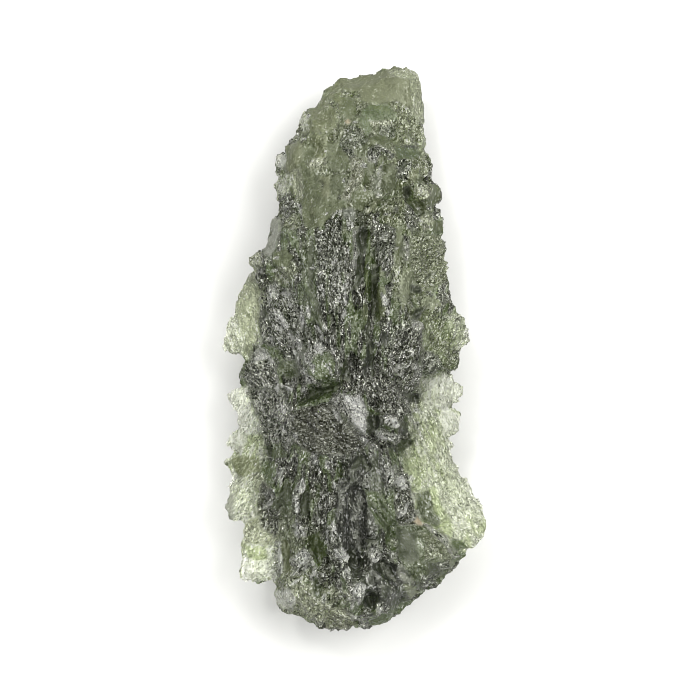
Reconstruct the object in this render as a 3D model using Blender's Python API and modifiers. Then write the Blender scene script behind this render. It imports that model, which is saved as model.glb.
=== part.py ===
"""A raw moldavite: one leaf-shaped piece of green natural glass, lying on a small flat spot.

The thick body is a long lens, highest a little below its middle. Thin flanges stand out from it on
both sides, halfway up. The skin is pitted, and fluted along the way the glass once flowed: straight
down the upper half, drawn together at a waist below the middle, and fanning out towards the foot.
"""

import bmesh
import bpy
import numpy as np
from mathutils import Vector, noise

MM = 0.001

# Driving dimensions, in millimetres. Y runs from the foot to the narrow top, Z up from the rest spot
LENGTH = 42.2
WIDTH = 19.8
THICKNESS = 8.9
FLANGE_THICKNESS = 1.7
RIM_THICKNESS = 0.75
RIM_HEIGHT = 3.5
REST_SPOT = (-0.6, -1.5)
REST_HALF_SIZE = (3.2, 4.6)
REST_CUT = 0.3
TRIANGLES = 9200

# How the solid is made
SLAB_HALF_THICKNESS = 2.2
SHARE_BELOW_RIM = 0.42
SHOULDER = 6.2
FLANGE_SHOULDER = 2.4
STEP_WIDTH = 0.35
REST_LEVEL = -1.0
COARSE_VOXEL = 0.45
FINE_VOXEL = 0.26
MARK_SPREAD = 0.75
FULL_DEPTH_THICKNESS = 4.5
THIN_PIT_SHARE = 0.4
UNDER_PIT_SHARE = 0.8
REST_PIT_SHARE = 0.25
SMOOTH_PIT_SHARE = 0.3

# The outline, chosen by hand, clockwise from the left of the top
TOP_EDGE = [
    (-2.2, 19.5), (-1.4, 20.0), (-0.9, 20.5), (-0.5, 20.2), (1.2, 20.6), (2.7, 21.1), (4.0, 21.0),
    (4.7, 20.3),
]
RIGHT_BEADS = [
    (4.9, 18.8), (5.1, 17.4), (5.0, 16.4), (5.3, 15.5), (4.8, 15.0), (5.7, 14.2), (5.8, 13.5),
    (5.5, 12.7), (6.1, 12.3), (6.4, 11.6), (5.9, 10.7), (6.6, 9.4), (6.3, 8.6), (6.8, 7.7),
    (6.5, 6.8), (7.1, 6.1), (6.6, 5.6), (7.1, 5.0), (7.0, 4.3), (7.5, 3.2), (7.2, 2.8), (8.0, 2.5),
    (8.2, 1.8), (8.5, 0.8), (7.6, 0.0), (7.8, -1.2), (7.0, -1.6),
]
RIGHT_FLANGE_EDGE = [
    (7.0, -2.1), (8.1, -3.1), (7.5, -4.0), (7.0, -4.4), (7.7, -4.7), (7.8, -6.3), (6.9, -6.7),
    (7.4, -7.3), (7.1, -7.7), (7.7, -8.9), (8.7, -10.6), (9.5, -11.5), (9.5, -12.2), (9.9, -13.1),
    (9.5, -14.4), (8.1, -15.0), (8.2, -15.4),
]
FOOT_EDGE = [
    (7.7, -16.1), (6.8, -16.8), (5.9, -17.6), (4.8, -18.5), (3.4, -19.7), (2.6, -20.0),
    (0.7, -21.1), (-0.5, -20.6), (-1.7, -21.1), (-2.9, -20.9), (-3.4, -20.4), (-4.2, -19.9),
    (-5.1, -19.8), (-6.0, -18.8), (-5.8, -18.0), (-6.0, -17.1),
]
LEFT_FLANGE_EDGE = [
    (-7.4, -17.6), (-8.5, -17.4), (-8.6, -15.8), (-8.5, -13.1), (-9.4, -12.8), (-9.8, -11.9),
    (-9.4, -9.8), (-10.0, -8.5), (-9.1, -7.9), (-9.8, -7.3), (-9.4, -6.4), (-8.9, -6.0),
    (-8.8, -4.6), (-9.4, -4.4), (-9.8, -3.5), (-9.4, -3.1), (-8.3, -2.9),
]
WING_EDGE = [
    (-8.7, -2.2), (-8.0, -0.7), (-9.2, -0.4), (-10.0, 0.0), (-9.7, 1.4), (-8.6, 4.4), (-8.0, 5.4),
]
UPPER_LEFT_EDGE = [
    (-7.9, 6.6), (-6.7, 7.5), (-6.2, 9.7), (-5.7, 10.1), (-5.8, 13.1), (-5.9, 14.5), (-5.0, 15.5),
    (-3.9, 17.3), (-3.7, 17.9), (-2.3, 18.7),
]

# Where the stone is thin. Each polygon runs past the outline
THIN_AREAS = {
    "right flange": ([
        (6.0, -1.6), (4.9, -2.8), (4.0, -4.2), (4.0, -6.8), (3.4, -7.7), (3.7, -9.2), (4.6, -11.9),
        (4.8, -13.0), (6.7, -14.3), (8.0, -15.6), (12.0, -15.6), (12.0, -1.6),
    ], 1.0),
    "left flange": ([
        (-7.9, -2.8), (-7.4, -5.3), (-6.6, -7.9), (-7.4, -10.6), (-6.1, -12.8), (-5.6, -14.7),
        (-5.9, -17.3), (-12.0, -18.5), (-12.0, -2.8),
    ], 0.9),
    "wing": ([
        (-7.0, 4.6), (-7.3, 1.4), (-7.3, 0.0), (-8.0, -0.7), (-12.0, -0.7), (-12.0, 4.6),
    ], 0.9),
    "beaded edge": ([
        (5.5, 10.0), (5.2, 7.4), (5.2, 2.2), (5.4, 0.3), (6.4, -0.3), (10.0, -0.3), (10.0, 10.0),
    ], 1.5),
}

# The body's greatest thickness along its length, as (y, share of THICKNESS)
THICKNESS_ALONG = [
    (-21.5, 0.42), (-18.5, 0.72), (-14.0, 0.93), (-6.0, 1.0), (3.0, 0.98), (9.0, 0.86),
    (14.0, 0.7), (18.0, 0.52), (21.5, 0.38),
]

# The rim's height: waves as (height, length along y, length along x, phase), then its lean to the
# right, its drop towards the top and its lift towards the foot
RIM_WAVES = [(0.34, 1.9, 3.1, 0.0), (0.26, 0.97, -1.7, 2.0), (0.5, 7.0, 1000.0, 0.4)]
RIM_LEAN = 0.055
TOP_DROP = (13.0, 21.0, 0.9)
FOOT_LIFT = (7.0, 15.0, 0.9)

# How the flow lines draw together and apart, as (y, share of their widest spacing)
FLOW_WIDTH_ALONG = [(-22.0, 0.92), (-16.0, 0.85), (-9.0, 0.6), (-3.0, 0.44), (5.0, 0.66), (12.0, 0.72)]
FLOW_CENTRE = -0.8

# Carved into the upper side: (points, width, depth). One point is a pit
GROOVES = [
    ([(0.75, 9.3), (0.6, 8.2), (0.75, 7.4), (0.4, 5.9)], 0.8, 0.8),
    ([(1.7, 7.5), (1.35, 5.9), (1.2, 4.3), (1.35, 2.2)], 0.8, 1.0),
    ([(0.8, 2.1), (0.6, 0.4), (1.2, -0.3), (1.2, -1.9)], 0.8, 0.7),
    ([(-0.4, -0.8), (-0.6, -1.9)], 1.3, 1.0),
    ([(-0.8, -2.8), (-2.1, -2.8), (-3.1, -3.2), (-4.1, -3.8)], 1.2, 1.1),
    ([(-5.6, -2.0), (-4.2, -2.2)], 0.9, 0.6),
    ([(-3.2, -8.6), (-3.0, -11.3), (-2.8, -13.6), (-3.2, -14.7), (-2.5, -16.0)], 1.1, 1.0),
    ([(-5.2, -9.4), (-5.4, -12.0), (-5.1, -14.3), (-5.2, -16.6)], 1.0, 0.8),
    ([(-3.9, -10.6), (-4.0, -12.8)], 1.0, 0.7),
    ([(0.0, -11.0), (-0.3, -12.8), (-0.2, -15.8)], 1.8, 1.0),
    ([(1.5, -11.0), (2.3, -13.6), (3.6, -15.6)], 0.9, 0.6),
    ([(1.8, -15.8), (3.0, -17.2)], 1.6, 0.8),
    ([(0.9, -18.6)], 1.5, 0.8),
    ([(3.2, -18.6)], 1.4, 0.7),
    ([(-2.8, -18.0)], 1.4, 0.6),
    ([(-6.0, -0.2), (-4.3, 0.1)], 0.9, 0.5),
    ([(3.4, 12.4), (3.9, 11.2), (4.8, 10.4), (5.5, 10.2)], 1.0, 0.8),
    ([(4.9, -0.3), (4.7, -1.6), (5.2, -2.2)], 0.9, 0.6),
    ([(4.0, 2.2), (5.0, 2.9)], 0.9, 0.6),
    ([(2.1, 0.2), (2.5, 1.2)], 1.2, 0.6),
    ([(4.3, 5.0), (4.1, 3.5)], 1.1, 0.6),
    ([(1.0, 14.8), (1.4, 13.4), (0.9, 12.3)], 1.1, 0.6),
    ([(-3.7, 14.9)], 1.3, 0.5),
    ([(1.1, -4.2), (1.0, -6.0)], 1.0, 0.6),
    ([(3.7, -6.7), (2.9, -7.5)], 1.2, 0.7),
    ([(3.2, -3.5), (4.3, -3.6)], 1.2, 0.6),
    ([(-2.4, -4.6), (-1.6, -7.2), (-1.4, -9.6)], 1.4, 0.5),
    ([(3.4, -14.0), (6.2, -16.4)], 3.6, 1.1),
]

# Standing up from the upper side: (points, width, height)
RIDGES = [
    ([(-0.6, -3.6), (-0.2, -4.7), (0.3, -5.8)], 1.5, 0.8),
    ([(2.6, -5.3)], 1.7, 0.6),
    ([(1.6, 12.8), (1.7, 11.2)], 0.8, 0.5),
    ([(0.9, 8.6), (1.0, 6.6), (0.7, 4.4)], 0.6, 0.4),
    ([(2.0, 4.6), (2.4, 2.6)], 0.8, 0.4),
    ([(-2.3, -12.4), (-1.6, -14.7), (-0.9, -16.6), (-0.8, -18.4)], 1.4, 0.8),
    ([(-4.2, -9.6), (-4.5, -12.1), (-4.0, -14.2)], 0.8, 0.6),
    ([(0.1, -17.2), (-0.3, -18.9)], 1.0, 0.6),
    ([(1.7, -18.4), (1.9, -19.6)], 1.2, 0.5),
    ([(-6.5, 3.0), (-5.2, 1.5), (-4.6, 0.4)], 0.9, 0.5),
    ([(-4.8, -0.1), (-4.2, -1.2), (-3.2, -2.2)], 0.9, 0.6),
    ([(-2.9, 3.5), (-2.6, 0.8)], 0.8, 0.4),
    ([(4.6, -12.9), (6.0, -13.5), (7.2, -14.7)], 0.7, 0.5),
    ([(0.7, 15.2), (2.0, 15.2), (2.9, 14.4)], 0.8, 0.5),
    ([(-1.8, 9.9), (-1.2, 10.2)], 1.0, 0.4),
]

# Smooth places, where the pits are shallow: (centre, half width, half length)
SMOOTH_AREAS = [
    ((-0.9, 10.8), 2.2, 2.2), ((1.8, 18.6), 4.6, 2.2), ((-8.5, 2.2), 1.2, 2.6), ((-8.4, -8.7), 1.3, 0.9),
    ((-2.0, 12.4), 2.6, 1.8),
]

# Carved into the underside: (points, width, depth)
UNDER_GROOVES = [
    ([(-3.6, 14.0), (-2.8, 9.0), (-4.4, 4.0)], 1.8, 0.8),
    ([(2.2, 15.5), (3.0, 10.0)], 1.6, 0.7),
    ([(5.2, 4.5), (4.4, -0.5)], 1.8, 0.7),
    ([(-5.6, -1.5), (-4.8, -6.5), (-5.6, -10.5)], 1.7, 0.8),
    ([(3.4, -9.0), (5.4, -12.5)], 1.6, 0.7),
    ([(-2.6, -12.5), (-3.4, -16.5)], 2.0, 0.8),
    ([(1.2, -13.5), (2.4, -17.5)], 1.5, 0.7),
    ([(0.3, 12.8)], 2.6, 0.6),
    ([(-6.4, 5.6)], 1.8, 0.5),
]

# The pitted skin: spacing across the flow, along it and upwards, then depth
BROAD_SWELL = (4.4, 6.5, 4.0, 0.7)
FLUTES = (1.25, 3.6, 1.5, 0.48)
PITS = (1.35, 2.0, 1.1, 0.5)
CRUMBS = (0.7, 0.95, 0.8, 0.2)
PIT_RADIUS = 0.62
PIT_SHARPNESS = 1.3

GLASS_COLOUR = (0.10, 0.14, 0.06, 1.0)
GLASS_ROUGHNESS = 0.18
GLASS_IOR = 1.49
GLASS_CLEARNESS = 0.6


def empty_scene():
    for obj in list(bpy.data.objects):
        bpy.data.objects.remove(obj, do_unlink=True)


def collection(name):
    made = bpy.data.collections.new(name)
    bpy.context.scene.collection.children.link(made)
    return made


def outline():
    """The whole outline, scaled to the stone's length and width."""
    points = np.array(
        TOP_EDGE + RIGHT_BEADS + RIGHT_FLANGE_EDGE + FOOT_EDGE + LEFT_FLANGE_EDGE + WING_EDGE
        + UPPER_LEFT_EDGE
    )
    return points * (WIDTH, LENGTH) / np.ptp(points, axis=0)


def distance_to(plan, points, closed=False):
    """How far each place in plan is from a line through these points, or from a single point."""
    starts = np.array(points, float)
    ends = np.roll(starts, -1, axis=0)
    if not closed and len(starts) > 1:
        starts, ends = starts[:-1], ends[:-1]
    nearest = np.full(len(plan), np.inf)
    for start, end in zip(starts, ends):
        run = end - start
        share = np.clip((plan - start) @ run / max(run @ run, 1e-9), 0, 1)
        gap = plan - start - share[:, None] * run
        nearest = np.minimum(nearest, np.hypot(gap[:, 0], gap[:, 1]))
    return nearest


def inside(plan, polygon):
    """Whether each place in plan lies in the polygon, by counting the sides to its right."""
    found = np.zeros(len(plan), bool)
    x, y = plan[:, 0], plan[:, 1]
    for (x0, y0), (x1, y1) in zip(polygon, polygon[1:] + polygon[:1]):
        if y0 == y1:
            continue
        crossing = x0 + (y - y0) * (x1 - x0) / (y1 - y0)
        found ^= ((y0 > y) != (y1 > y)) & (x < crossing)
    return found


def smooth_step(low, high, value):
    share = np.clip((value - low) / (high - low), 0, 1)
    return share * share * (3 - 2 * share)


def along(table, y):
    """A smooth curve through the table's values, read at y."""
    places, values = np.array(table).T
    spread = np.linspace(-1.5, 1.5, 7)
    return np.mean([np.interp(y + step, places, values) for step in spread], axis=0)


def shoulder(distance, width):
    """The rounded rise from 0 at an edge to 1 at this width from it."""
    share = np.clip(distance / width, 0, 1)
    return np.sqrt(1 - (1 - share) ** 2)


def rim_height(plan):
    """The wavering height of the rim, lower at the narrow top and along the left."""
    x, y = plan[:, 0], plan[:, 1]
    waver = sum(
        height * np.sin(y / along_y + x / along_x + phase)
        for height, along_y, along_x, phase in RIM_WAVES
    )
    drop = TOP_DROP[2] * smooth_step(*TOP_DROP[:2], y)
    lift = FOOT_LIFT[2] * smooth_step(*FOOT_LIFT[:2], -y)
    return RIM_HEIGHT + waver + RIM_LEAN * x - drop + lift


def thickness_and_middle(plan, edge):
    """The stone's thickness at each place in plan, and the height of its rim there."""
    to_edge = distance_to(plan, edge, closed=True)
    to_body_edge = to_edge.copy()
    thin = np.zeros(len(plan))
    thin_thickness = np.full(len(plan), FLANGE_THICKNESS)
    for polygon, share in THIN_AREAS.values():
        gap = distance_to(plan, polygon, closed=True)
        within = inside(plan, polygon)
        to_body_edge = np.minimum(to_body_edge, np.where(within, 0, gap))
        here = smooth_step(-STEP_WIDTH, STEP_WIDTH, np.where(within, gap, -gap))
        thin_thickness = np.where(here > thin, FLANGE_THICKNESS * share, thin_thickness)
        thin = np.maximum(thin, here)
    rim_rise = shoulder(to_edge, FLANGE_SHOULDER)
    flange = RIM_THICKNESS + (thin_thickness - RIM_THICKNESS) * rim_rise
    tallest = THICKNESS * along(THICKNESS_ALONG, plan[:, 1])
    body = flange + (tallest - flange) * shoulder(to_body_edge, SHOULDER)
    return np.where(thin > 0.5, flange, body), rim_height(plan), to_edge


def flow_place(plan):
    """Each place in plan, measured across and along the flow lines."""
    width = along(FLOW_WIDTH_ALONG, plan[:, 1])
    return (plan[:, 0] - FLOW_CENTRE) / width * 0.6, plan[:, 1]


def carved(plan, marks):
    """The summed height of grooves, pits or ridges, each with a rounded cross-section."""
    total = np.zeros(len(plan))
    for points, width, height in marks:
        share = np.clip(distance_to(plan, points) / (width * MARK_SPREAD), 0, 1)
        total = np.maximum(total, height * (1 - share * share) ** 2)
    return total


def flow_noise(place, spacing, seed):
    """Noise at one place, stretched to this spacing across, along and up the flow."""
    return noise.noise(Vector([at / step for at, step in zip(place, spacing)]) + Vector((0, 0, seed)))


def skin(points):
    """The relief of the pitted, fluted skin, in millimetres, at each point."""
    across, lengthwise = flow_place(points[:, :2])
    relief = np.zeros(len(points))
    for index, place in enumerate(zip(across, lengthwise, points[:, 2])):
        swell = flow_noise(place, BROAD_SWELL, 7.0) * BROAD_SWELL[3]
        flute = abs(flow_noise(place, FLUTES, 3.0)) * FLUTES[3]
        crumb = flow_noise(place, CRUMBS, -5.0) * CRUMBS[3]
        nearest = noise.voronoi(Vector([at / step for at, step in zip(place, PITS)]))[0]
        pit = max(0.0, 1.0 - nearest[0] / PIT_RADIUS) ** PIT_SHARPNESS * PITS[3]
        relief[index] = swell - flute - pit + crumb
    return relief


def rest_swell(plan):
    """The low, smooth swelling that the stone lies on, from 0 around it to 1 at its centre."""
    reach = np.hypot(*((plan - REST_SPOT) / REST_HALF_SIZE).T)
    return 1 - smooth_step(0.6, 1.5, reach)


def roughness_of(plan):
    """How deep the skin's pits are, from nearly none in the smooth places to 1."""
    rough = np.ones(len(plan))
    for (x, y), half_width, half_length in SMOOTH_AREAS:
        reach = np.hypot((plan[:, 0] - x) / half_width, (plan[:, 1] - y) / half_length)
        rough = np.minimum(rough, SMOOTH_PIT_SHARE + (1 - SMOOTH_PIT_SHARE) * smooth_step(0.7, 1.15, reach))
    return rough


def read_points(mesh):
    points = np.empty(len(mesh.vertices) * 3, np.float32)
    mesh.vertices.foreach_get("co", points)
    return points.reshape(-1, 3).astype(float) / MM


def write_points(mesh, points):
    mesh.vertices.foreach_set("co", (points * MM).astype(np.float32).ravel())
    mesh.update()


def read_normals(mesh):
    normals = np.empty(len(mesh.vertices) * 3, np.float32)
    mesh.vertices.foreach_get("normal", normals)
    return normals.reshape(-1, 3).astype(float)


def apply_modifiers(obj):
    """Replaces the object's mesh with the one that its modifiers give."""
    evaluated = obj.evaluated_get(bpy.context.evaluated_depsgraph_get())
    mesh = bpy.data.meshes.new_from_object(evaluated)
    obj.modifiers.clear()
    obj.data = mesh


def remesh(obj, voxel):
    modifier = obj.modifiers.new("Remesh", "REMESH")
    modifier.mode = "VOXEL"
    modifier.voxel_size = voxel * MM
    apply_modifiers(obj)


def blank(edge, parts):
    """A flat slab with the stone's outline, from a filled curve."""
    curve = bpy.data.curves.new("outline", "CURVE")
    curve.dimensions = "2D"
    curve.fill_mode = "BOTH"
    curve.extrude = SLAB_HALF_THICKNESS * MM
    spline = curve.splines.new("POLY")
    spline.points.add(len(edge) - 1)
    for point, (x, y) in zip(spline.points, edge):
        point.co = (x * MM, y * MM, 0, 1)
    spline.use_cyclic_u = True
    drawn = bpy.data.objects.new("outline", curve)
    bpy.context.scene.collection.objects.link(drawn)
    bpy.context.view_layer.update()
    mesh = bpy.data.meshes.new_from_object(drawn.evaluated_get(bpy.context.evaluated_depsgraph_get()))
    bpy.data.objects.remove(drawn)
    welded = bmesh.new()
    welded.from_mesh(mesh)
    bmesh.ops.remove_doubles(welded, verts=welded.verts, dist=0.001 * MM)
    bmesh.ops.recalc_face_normals(welded, faces=welded.faces)
    welded.to_mesh(mesh)
    welded.free()
    stone = bpy.data.objects.new("moldavite", mesh)
    parts.objects.link(stone)
    return stone


def swell_to_lens(stone, edge):
    """Gives the slab its thickness everywhere: the body's lens, the flanges and the rim."""
    points = read_points(stone.data)
    side = points[:, 2] / np.abs(points[:, 2]).max()
    thickness, middle, _ = thickness_and_middle(points[:, :2], edge)
    above = thickness * (1 - SHARE_BELOW_RIM)
    below = thickness * SHARE_BELOW_RIM
    points[:, 2] = middle + np.where(side > 0, side * above, side * below)
    write_points(stone.data, points)


def carve(stone, edge):
    """Cuts the named grooves and raises the ridges, then works the pitted skin all over."""
    points = read_points(stone.data)
    normals = read_normals(stone.data)
    plan = points[:, :2]
    thickness, middle, to_edge = thickness_and_middle(plan, edge)
    upper = smooth_step(-0.2, 0.6, points[:, 2] - middle)
    lower = smooth_step(-0.2, 0.6, middle - points[:, 2])
    inward = smooth_step(0.1, 1.0, to_edge)
    room = np.minimum(1, thickness / FULL_DEPTH_THICKNESS)
    top_marks = carved(plan, RIDGES) - carved(plan, GROOVES)
    points[:, 2] += upper * inward * room * top_marks
    points[:, 2] += lower * inward * room * carved(plan, UNDER_GROOVES)
    swelling = lower * rest_swell(plan)
    points[:, 2] += (REST_LEVEL - points[:, 2]) * swelling
    depth = roughness_of(plan) * (THIN_PIT_SHARE + (1 - THIN_PIT_SHARE) * room)
    depth *= np.where(lower > 0.5, UNDER_PIT_SHARE, 1.0)
    depth *= 1 - (1 - REST_PIT_SHARE) * swelling
    points += normals * (skin(points) * depth)[:, None]
    write_points(stone.data, points)


def settle(stone):
    """Centres the stone on its bounding box, with the plane of the rest spot at zero height."""
    points = read_points(stone.data)
    low, high = points.min(axis=0), points.max(axis=0)
    points[:, :2] -= (low[:2] + high[:2]) / 2
    points[:, 2] -= low[2] + REST_CUT
    write_points(stone.data, points)


def thin_out(stone):
    """Brings the mesh down to the wanted number of triangles, keeping its edges."""
    stone.data.calc_loop_triangles()
    modifier = stone.modifiers.new("Fewer faces", "DECIMATE")
    modifier.ratio = TRIANGLES / len(stone.data.loop_triangles)
    modifier.use_collapse_triangulate = True
    apply_modifiers(stone)


def cut_rest_spot(stone, cutters):
    """Takes the lowest bump off flat, which leaves the small spot that the stone lies on."""
    mesh = bpy.data.meshes.new("rest_spot_cutter")
    box = bmesh.new()
    bmesh.ops.create_cube(box, size=1.0)
    depth = 4 * REST_CUT
    bmesh.ops.scale(box, vec=(2 * WIDTH * MM, 2 * LENGTH * MM, depth * MM), verts=box.verts)
    bmesh.ops.translate(box, vec=(0, 0, -depth / 2 * MM), verts=box.verts)
    box.to_mesh(mesh)
    box.free()
    cutter = bpy.data.objects.new("rest_spot_cutter", mesh)
    cutter.hide_render = True
    cutter.display_type = "WIRE"
    cutters.objects.link(cutter)
    cut = stone.modifiers.new("Rest spot", "BOOLEAN")
    cut.operation = "DIFFERENCE"
    cut.solver = "EXACT"
    cut.object = cutter


def green_glass():
    material = bpy.data.materials.new("green glass")
    material.use_nodes = True
    shader = material.node_tree.nodes["Principled BSDF"]
    shader.inputs["Base Color"].default_value = GLASS_COLOUR
    shader.inputs["Roughness"].default_value = GLASS_ROUGHNESS
    shader.inputs["IOR"].default_value = GLASS_IOR
    shader.inputs["Transmission Weight"].default_value = GLASS_CLEARNESS
    material.diffuse_color = GLASS_COLOUR
    return material


def main():
    empty_scene()
    parts = collection("Moldavite")
    cutters = collection("Cutters")
    edge = outline()
    stone = blank(edge, parts)
    remesh(stone, COARSE_VOXEL)
    swell_to_lens(stone, edge)
    remesh(stone, FINE_VOXEL)
    carve(stone, edge)
    thin_out(stone)
    settle(stone)
    cut_rest_spot(stone, cutters)
    stone.data.materials.clear()
    stone.data.materials.append(green_glass())
    stone.data.shade_flat()


main()
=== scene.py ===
import math

import bpy
import numpy as np
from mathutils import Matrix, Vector, noise
from mathutils.kdtree import KDTree


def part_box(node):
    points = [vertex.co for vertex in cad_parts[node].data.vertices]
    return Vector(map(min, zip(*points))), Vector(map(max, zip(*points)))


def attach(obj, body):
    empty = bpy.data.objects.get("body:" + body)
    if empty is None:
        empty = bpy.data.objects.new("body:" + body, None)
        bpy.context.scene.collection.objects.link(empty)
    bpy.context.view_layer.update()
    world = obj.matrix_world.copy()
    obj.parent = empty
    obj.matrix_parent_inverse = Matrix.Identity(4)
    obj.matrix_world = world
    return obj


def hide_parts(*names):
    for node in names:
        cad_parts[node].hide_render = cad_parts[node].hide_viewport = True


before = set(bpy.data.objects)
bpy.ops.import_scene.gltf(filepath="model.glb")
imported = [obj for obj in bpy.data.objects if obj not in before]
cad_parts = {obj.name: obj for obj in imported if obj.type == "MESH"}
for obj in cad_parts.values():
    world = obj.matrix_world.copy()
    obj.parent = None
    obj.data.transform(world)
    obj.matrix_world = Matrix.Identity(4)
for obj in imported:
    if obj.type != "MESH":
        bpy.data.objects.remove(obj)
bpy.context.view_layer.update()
print("frame loaded")

mm = 0.001


class Wire:  # a socket of a material, so that its sums are written as expressions
    def __init__(self, tree, socket):
        self.tree = tree
        self.socket = socket

    def combine(self, operation, first, second):
        return addNode(self.tree, "ShaderNodeMath", {"operation": operation}, {0: first, 1: second})

    def __add__(self, other):
        return self.combine("ADD", self, other)

    def __radd__(self, other):
        return self.combine("ADD", other, self)

    def __sub__(self, other):
        return self.combine("SUBTRACT", self, other)

    def __rsub__(self, other):
        return self.combine("SUBTRACT", other, self)

    def __mul__(self, other):
        return self.combine("MULTIPLY", self, other)

    def __rmul__(self, other):
        return self.combine("MULTIPLY", other, self)

    def __pow__(self, power):
        return self.combine("POWER", self, power)


def addNode(tree, kind, settings=None, inputs=None, output=0):
    node = tree.nodes.new(kind)
    for name, value in (settings or {}).items():
        setattr(node, name, value)
    for name, value in (inputs or {}).items():
        if isinstance(value, Wire):
            tree.links.new(value.socket, node.inputs[name])
        else:
            node.inputs[name].default_value = value
    return Wire(tree, node.outputs[output]) if len(node.outputs) else node


def alone(thing):  # the only selected and active object
    bpy.ops.object.select_all(action="DESELECT")
    thing.select_set(True)
    bpy.context.view_layer.objects.active = thing


def applied(thing, kind, **settings):
    modifier = thing.modifiers.new(kind.title(), kind)
    for name, value in settings.items():
        setattr(modifier, name, value)
    alone(thing)
    bpy.ops.object.modifier_apply(modifier=modifier.name)


def readPoints(mesh, what="co"):
    points = np.empty(len(mesh.vertices) * 3, np.float32)
    mesh.vertices.foreach_get(what, points)
    return points.reshape(-1, 3).astype(float)


def writePoints(mesh, points):
    mesh.vertices.foreach_set("co", points.astype(np.float32).ravel())
    mesh.update()


def writeAttribute(mesh, name, kind, values):
    attribute = mesh.attributes.new(name, kind, "POINT")
    field = {"FLOAT": "value", "FLOAT_VECTOR": "vector", "FLOAT_COLOR": "color"}[kind]
    attribute.data.foreach_set(field, values.astype(np.float32).ravel())


# the stone's own sizes, in mm where nothing else is said
stoneForm = {
    "mergeDistance": 0.001,
    "baseVoxel": 0.17,
    "smoothFactor": 0.5,
    "smoothing": 2,  # times
    "fineVoxel": 0.16,
    "outlineGrowth": 0.12,  # what the second remeshing takes off the outline
    "outlineReach": 1.8,  # how far in the stone is moved to meet its outline
    "outlineSteps": 8,  # places taken along each of its sides
    "outlinePasses": 3,  # times the stone is moved
    "outlineNeighbours": 3,  # moves that each vertex takes the mean of
    "edgeCell": 0.25,  # how finely the rim is found
    "edgeSteepness": 0.6,  # the greatest height of a normal on the rim
    "rimNeighbours": 12,  # vertices that give the rim's level
    "rimReach": 0.8,  # over which the edge thins out
    "rimShare": 0.35,  # of its thickness, at the very edge
    "flowCentre": -0.8,  # the x that the flow lines spread from
    "flowSpread": 0.6,  # times the distance across, where that share is 1
    "flowBlend": 1.5,  # up and down the stone, over which the widths blend
    "blendSamples": 7,
    # (y, share of the widest spacing of the flow lines)
    "flowWidths": [(-22, 0.92), (-16, 0.85), (-9, 0.6), (-3, 0.44), (5, 0.66), (12, 0.72)],
    "grainShift": 5,  # sets the grain of the turned shapes apart
    "lineTaper": 0.6,  # share of its width that a line loses at its ends
    "ridgePower": 1.2,  # how sharp a ridge's crest is
    "facetCore": 0.6,  # share of a facet that gives its level
    "facetSlopes": (-0.35, -0.16),  # to +x and +y, where a facet has none of its own
    "windowRelief": 0.06,  # share of the relief that smooth places keep
    "facetRelief": 0.5,  # share of it that facets lose
    "smoothBelow": 0.5,  # the grain under which faces are shaded smooth
    "crumbs": 0.02,  # how far each point of the skin is moved at random
    "crumbSeed": 5,
    "cornerNudge": 1.001,  # keeps a chip's corner off the border between two cells
}

# what varies over the skin: the spacing in mm, or three of them across, along and through the
# flow, an offset that sets each apart, then its height, which for chips is their steepest slope
noises = {
    "waver x": (0.9, 5.0, 0.25),
    "waver y": (0.9, 9.0, 0.25),
    "ragged": (0.35, 21.0, 0.5),
    "wander x": (0.7, 31.0, 0.3),
    "wander y": (0.7, 37.0, 0.3),
    "teeth": (0.45, 11.0, 0.25),
    "streaks": ((0.45, 2.4, 1.2), 41.0, 1.0),
    "swell": ((0.9, 3.4, 1.2), 3.0, 0.25),
    "flutes": ((0.34, 3.2, 0.7), 7.0, 0.32),
    "chips": ((0.55, 1.7, 0.8), 0.0, 0.32),
    "flakes": ((0.26, 0.5, 0.35), 17.3, 0.22),
}

# where each fade begins and where it is complete
fades = {
    # by the height of the normal
    "sculpted side": (0.0, 0.4),
    "painted side": (-0.6, -0.1),
    "rim wall": (0.2, 0.6),
    # by the nearness to a line
    "groove wall": (0.0, 0.6),
    "groove floor": (0.1, 0.5),
    "stroke": (0.05, 0.45),
    # by the distance from a middle, in shares of the size
    "facet edge": (0.75, 1.1),
    "pale facet": (0.8, 1.1),
    "patch edge": (0.75, 1.15),
    # by the streaks' height, then by the grain
    "green streak": (-0.04, 0.16),
    "vein": (-0.1, 0.25),
    "rough skin": (0.1, 0.95),
}


def smoothStep(low, high, value):
    share = np.clip((value - low) / (high - low), 0, 1)
    return share * share * (3 - 2 * share)


def fade(name, value):
    return smoothStep(*fades[name], value)


def noiseAt(name, places):
    spacing, offset, height = noises[name]
    scaled = places / spacing + offset
    return np.array([noise.noise(Vector(place)) for place in scaled.tolist()]) * height


def chipsAt(name, flow):  # the height of flat chips, each with a tilt of its own
    spacing, offset, slope = noises[name]
    heights = []
    for place in (flow / spacing + offset).tolist():
        corner = noise.voronoi(Vector(place))[1][0]
        tilt = noise.cell_vector(corner * stoneForm["cornerNudge"])
        heights.append((Vector(place) - corner).dot(tilt * 2 - Vector((1, 1, 1))))
    return np.array(heights) * slope * spacing[0]


def flowPlaces(points):  # mm, measured across, along and through the way the glass flowed
    places, widths = np.array(stoneForm["flowWidths"], float).T
    blend = stoneForm["flowBlend"]
    steps = np.linspace(-blend, blend, stoneForm["blendSamples"])
    width = np.mean([np.interp(points[:, 1] + step, places, widths) for step in steps], axis=0)
    across = (points[:, 0] - stoneForm["flowCentre"]) / width * stoneForm["flowSpread"]
    return np.column_stack([across, points[:, 1], points[:, 2]])


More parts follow.
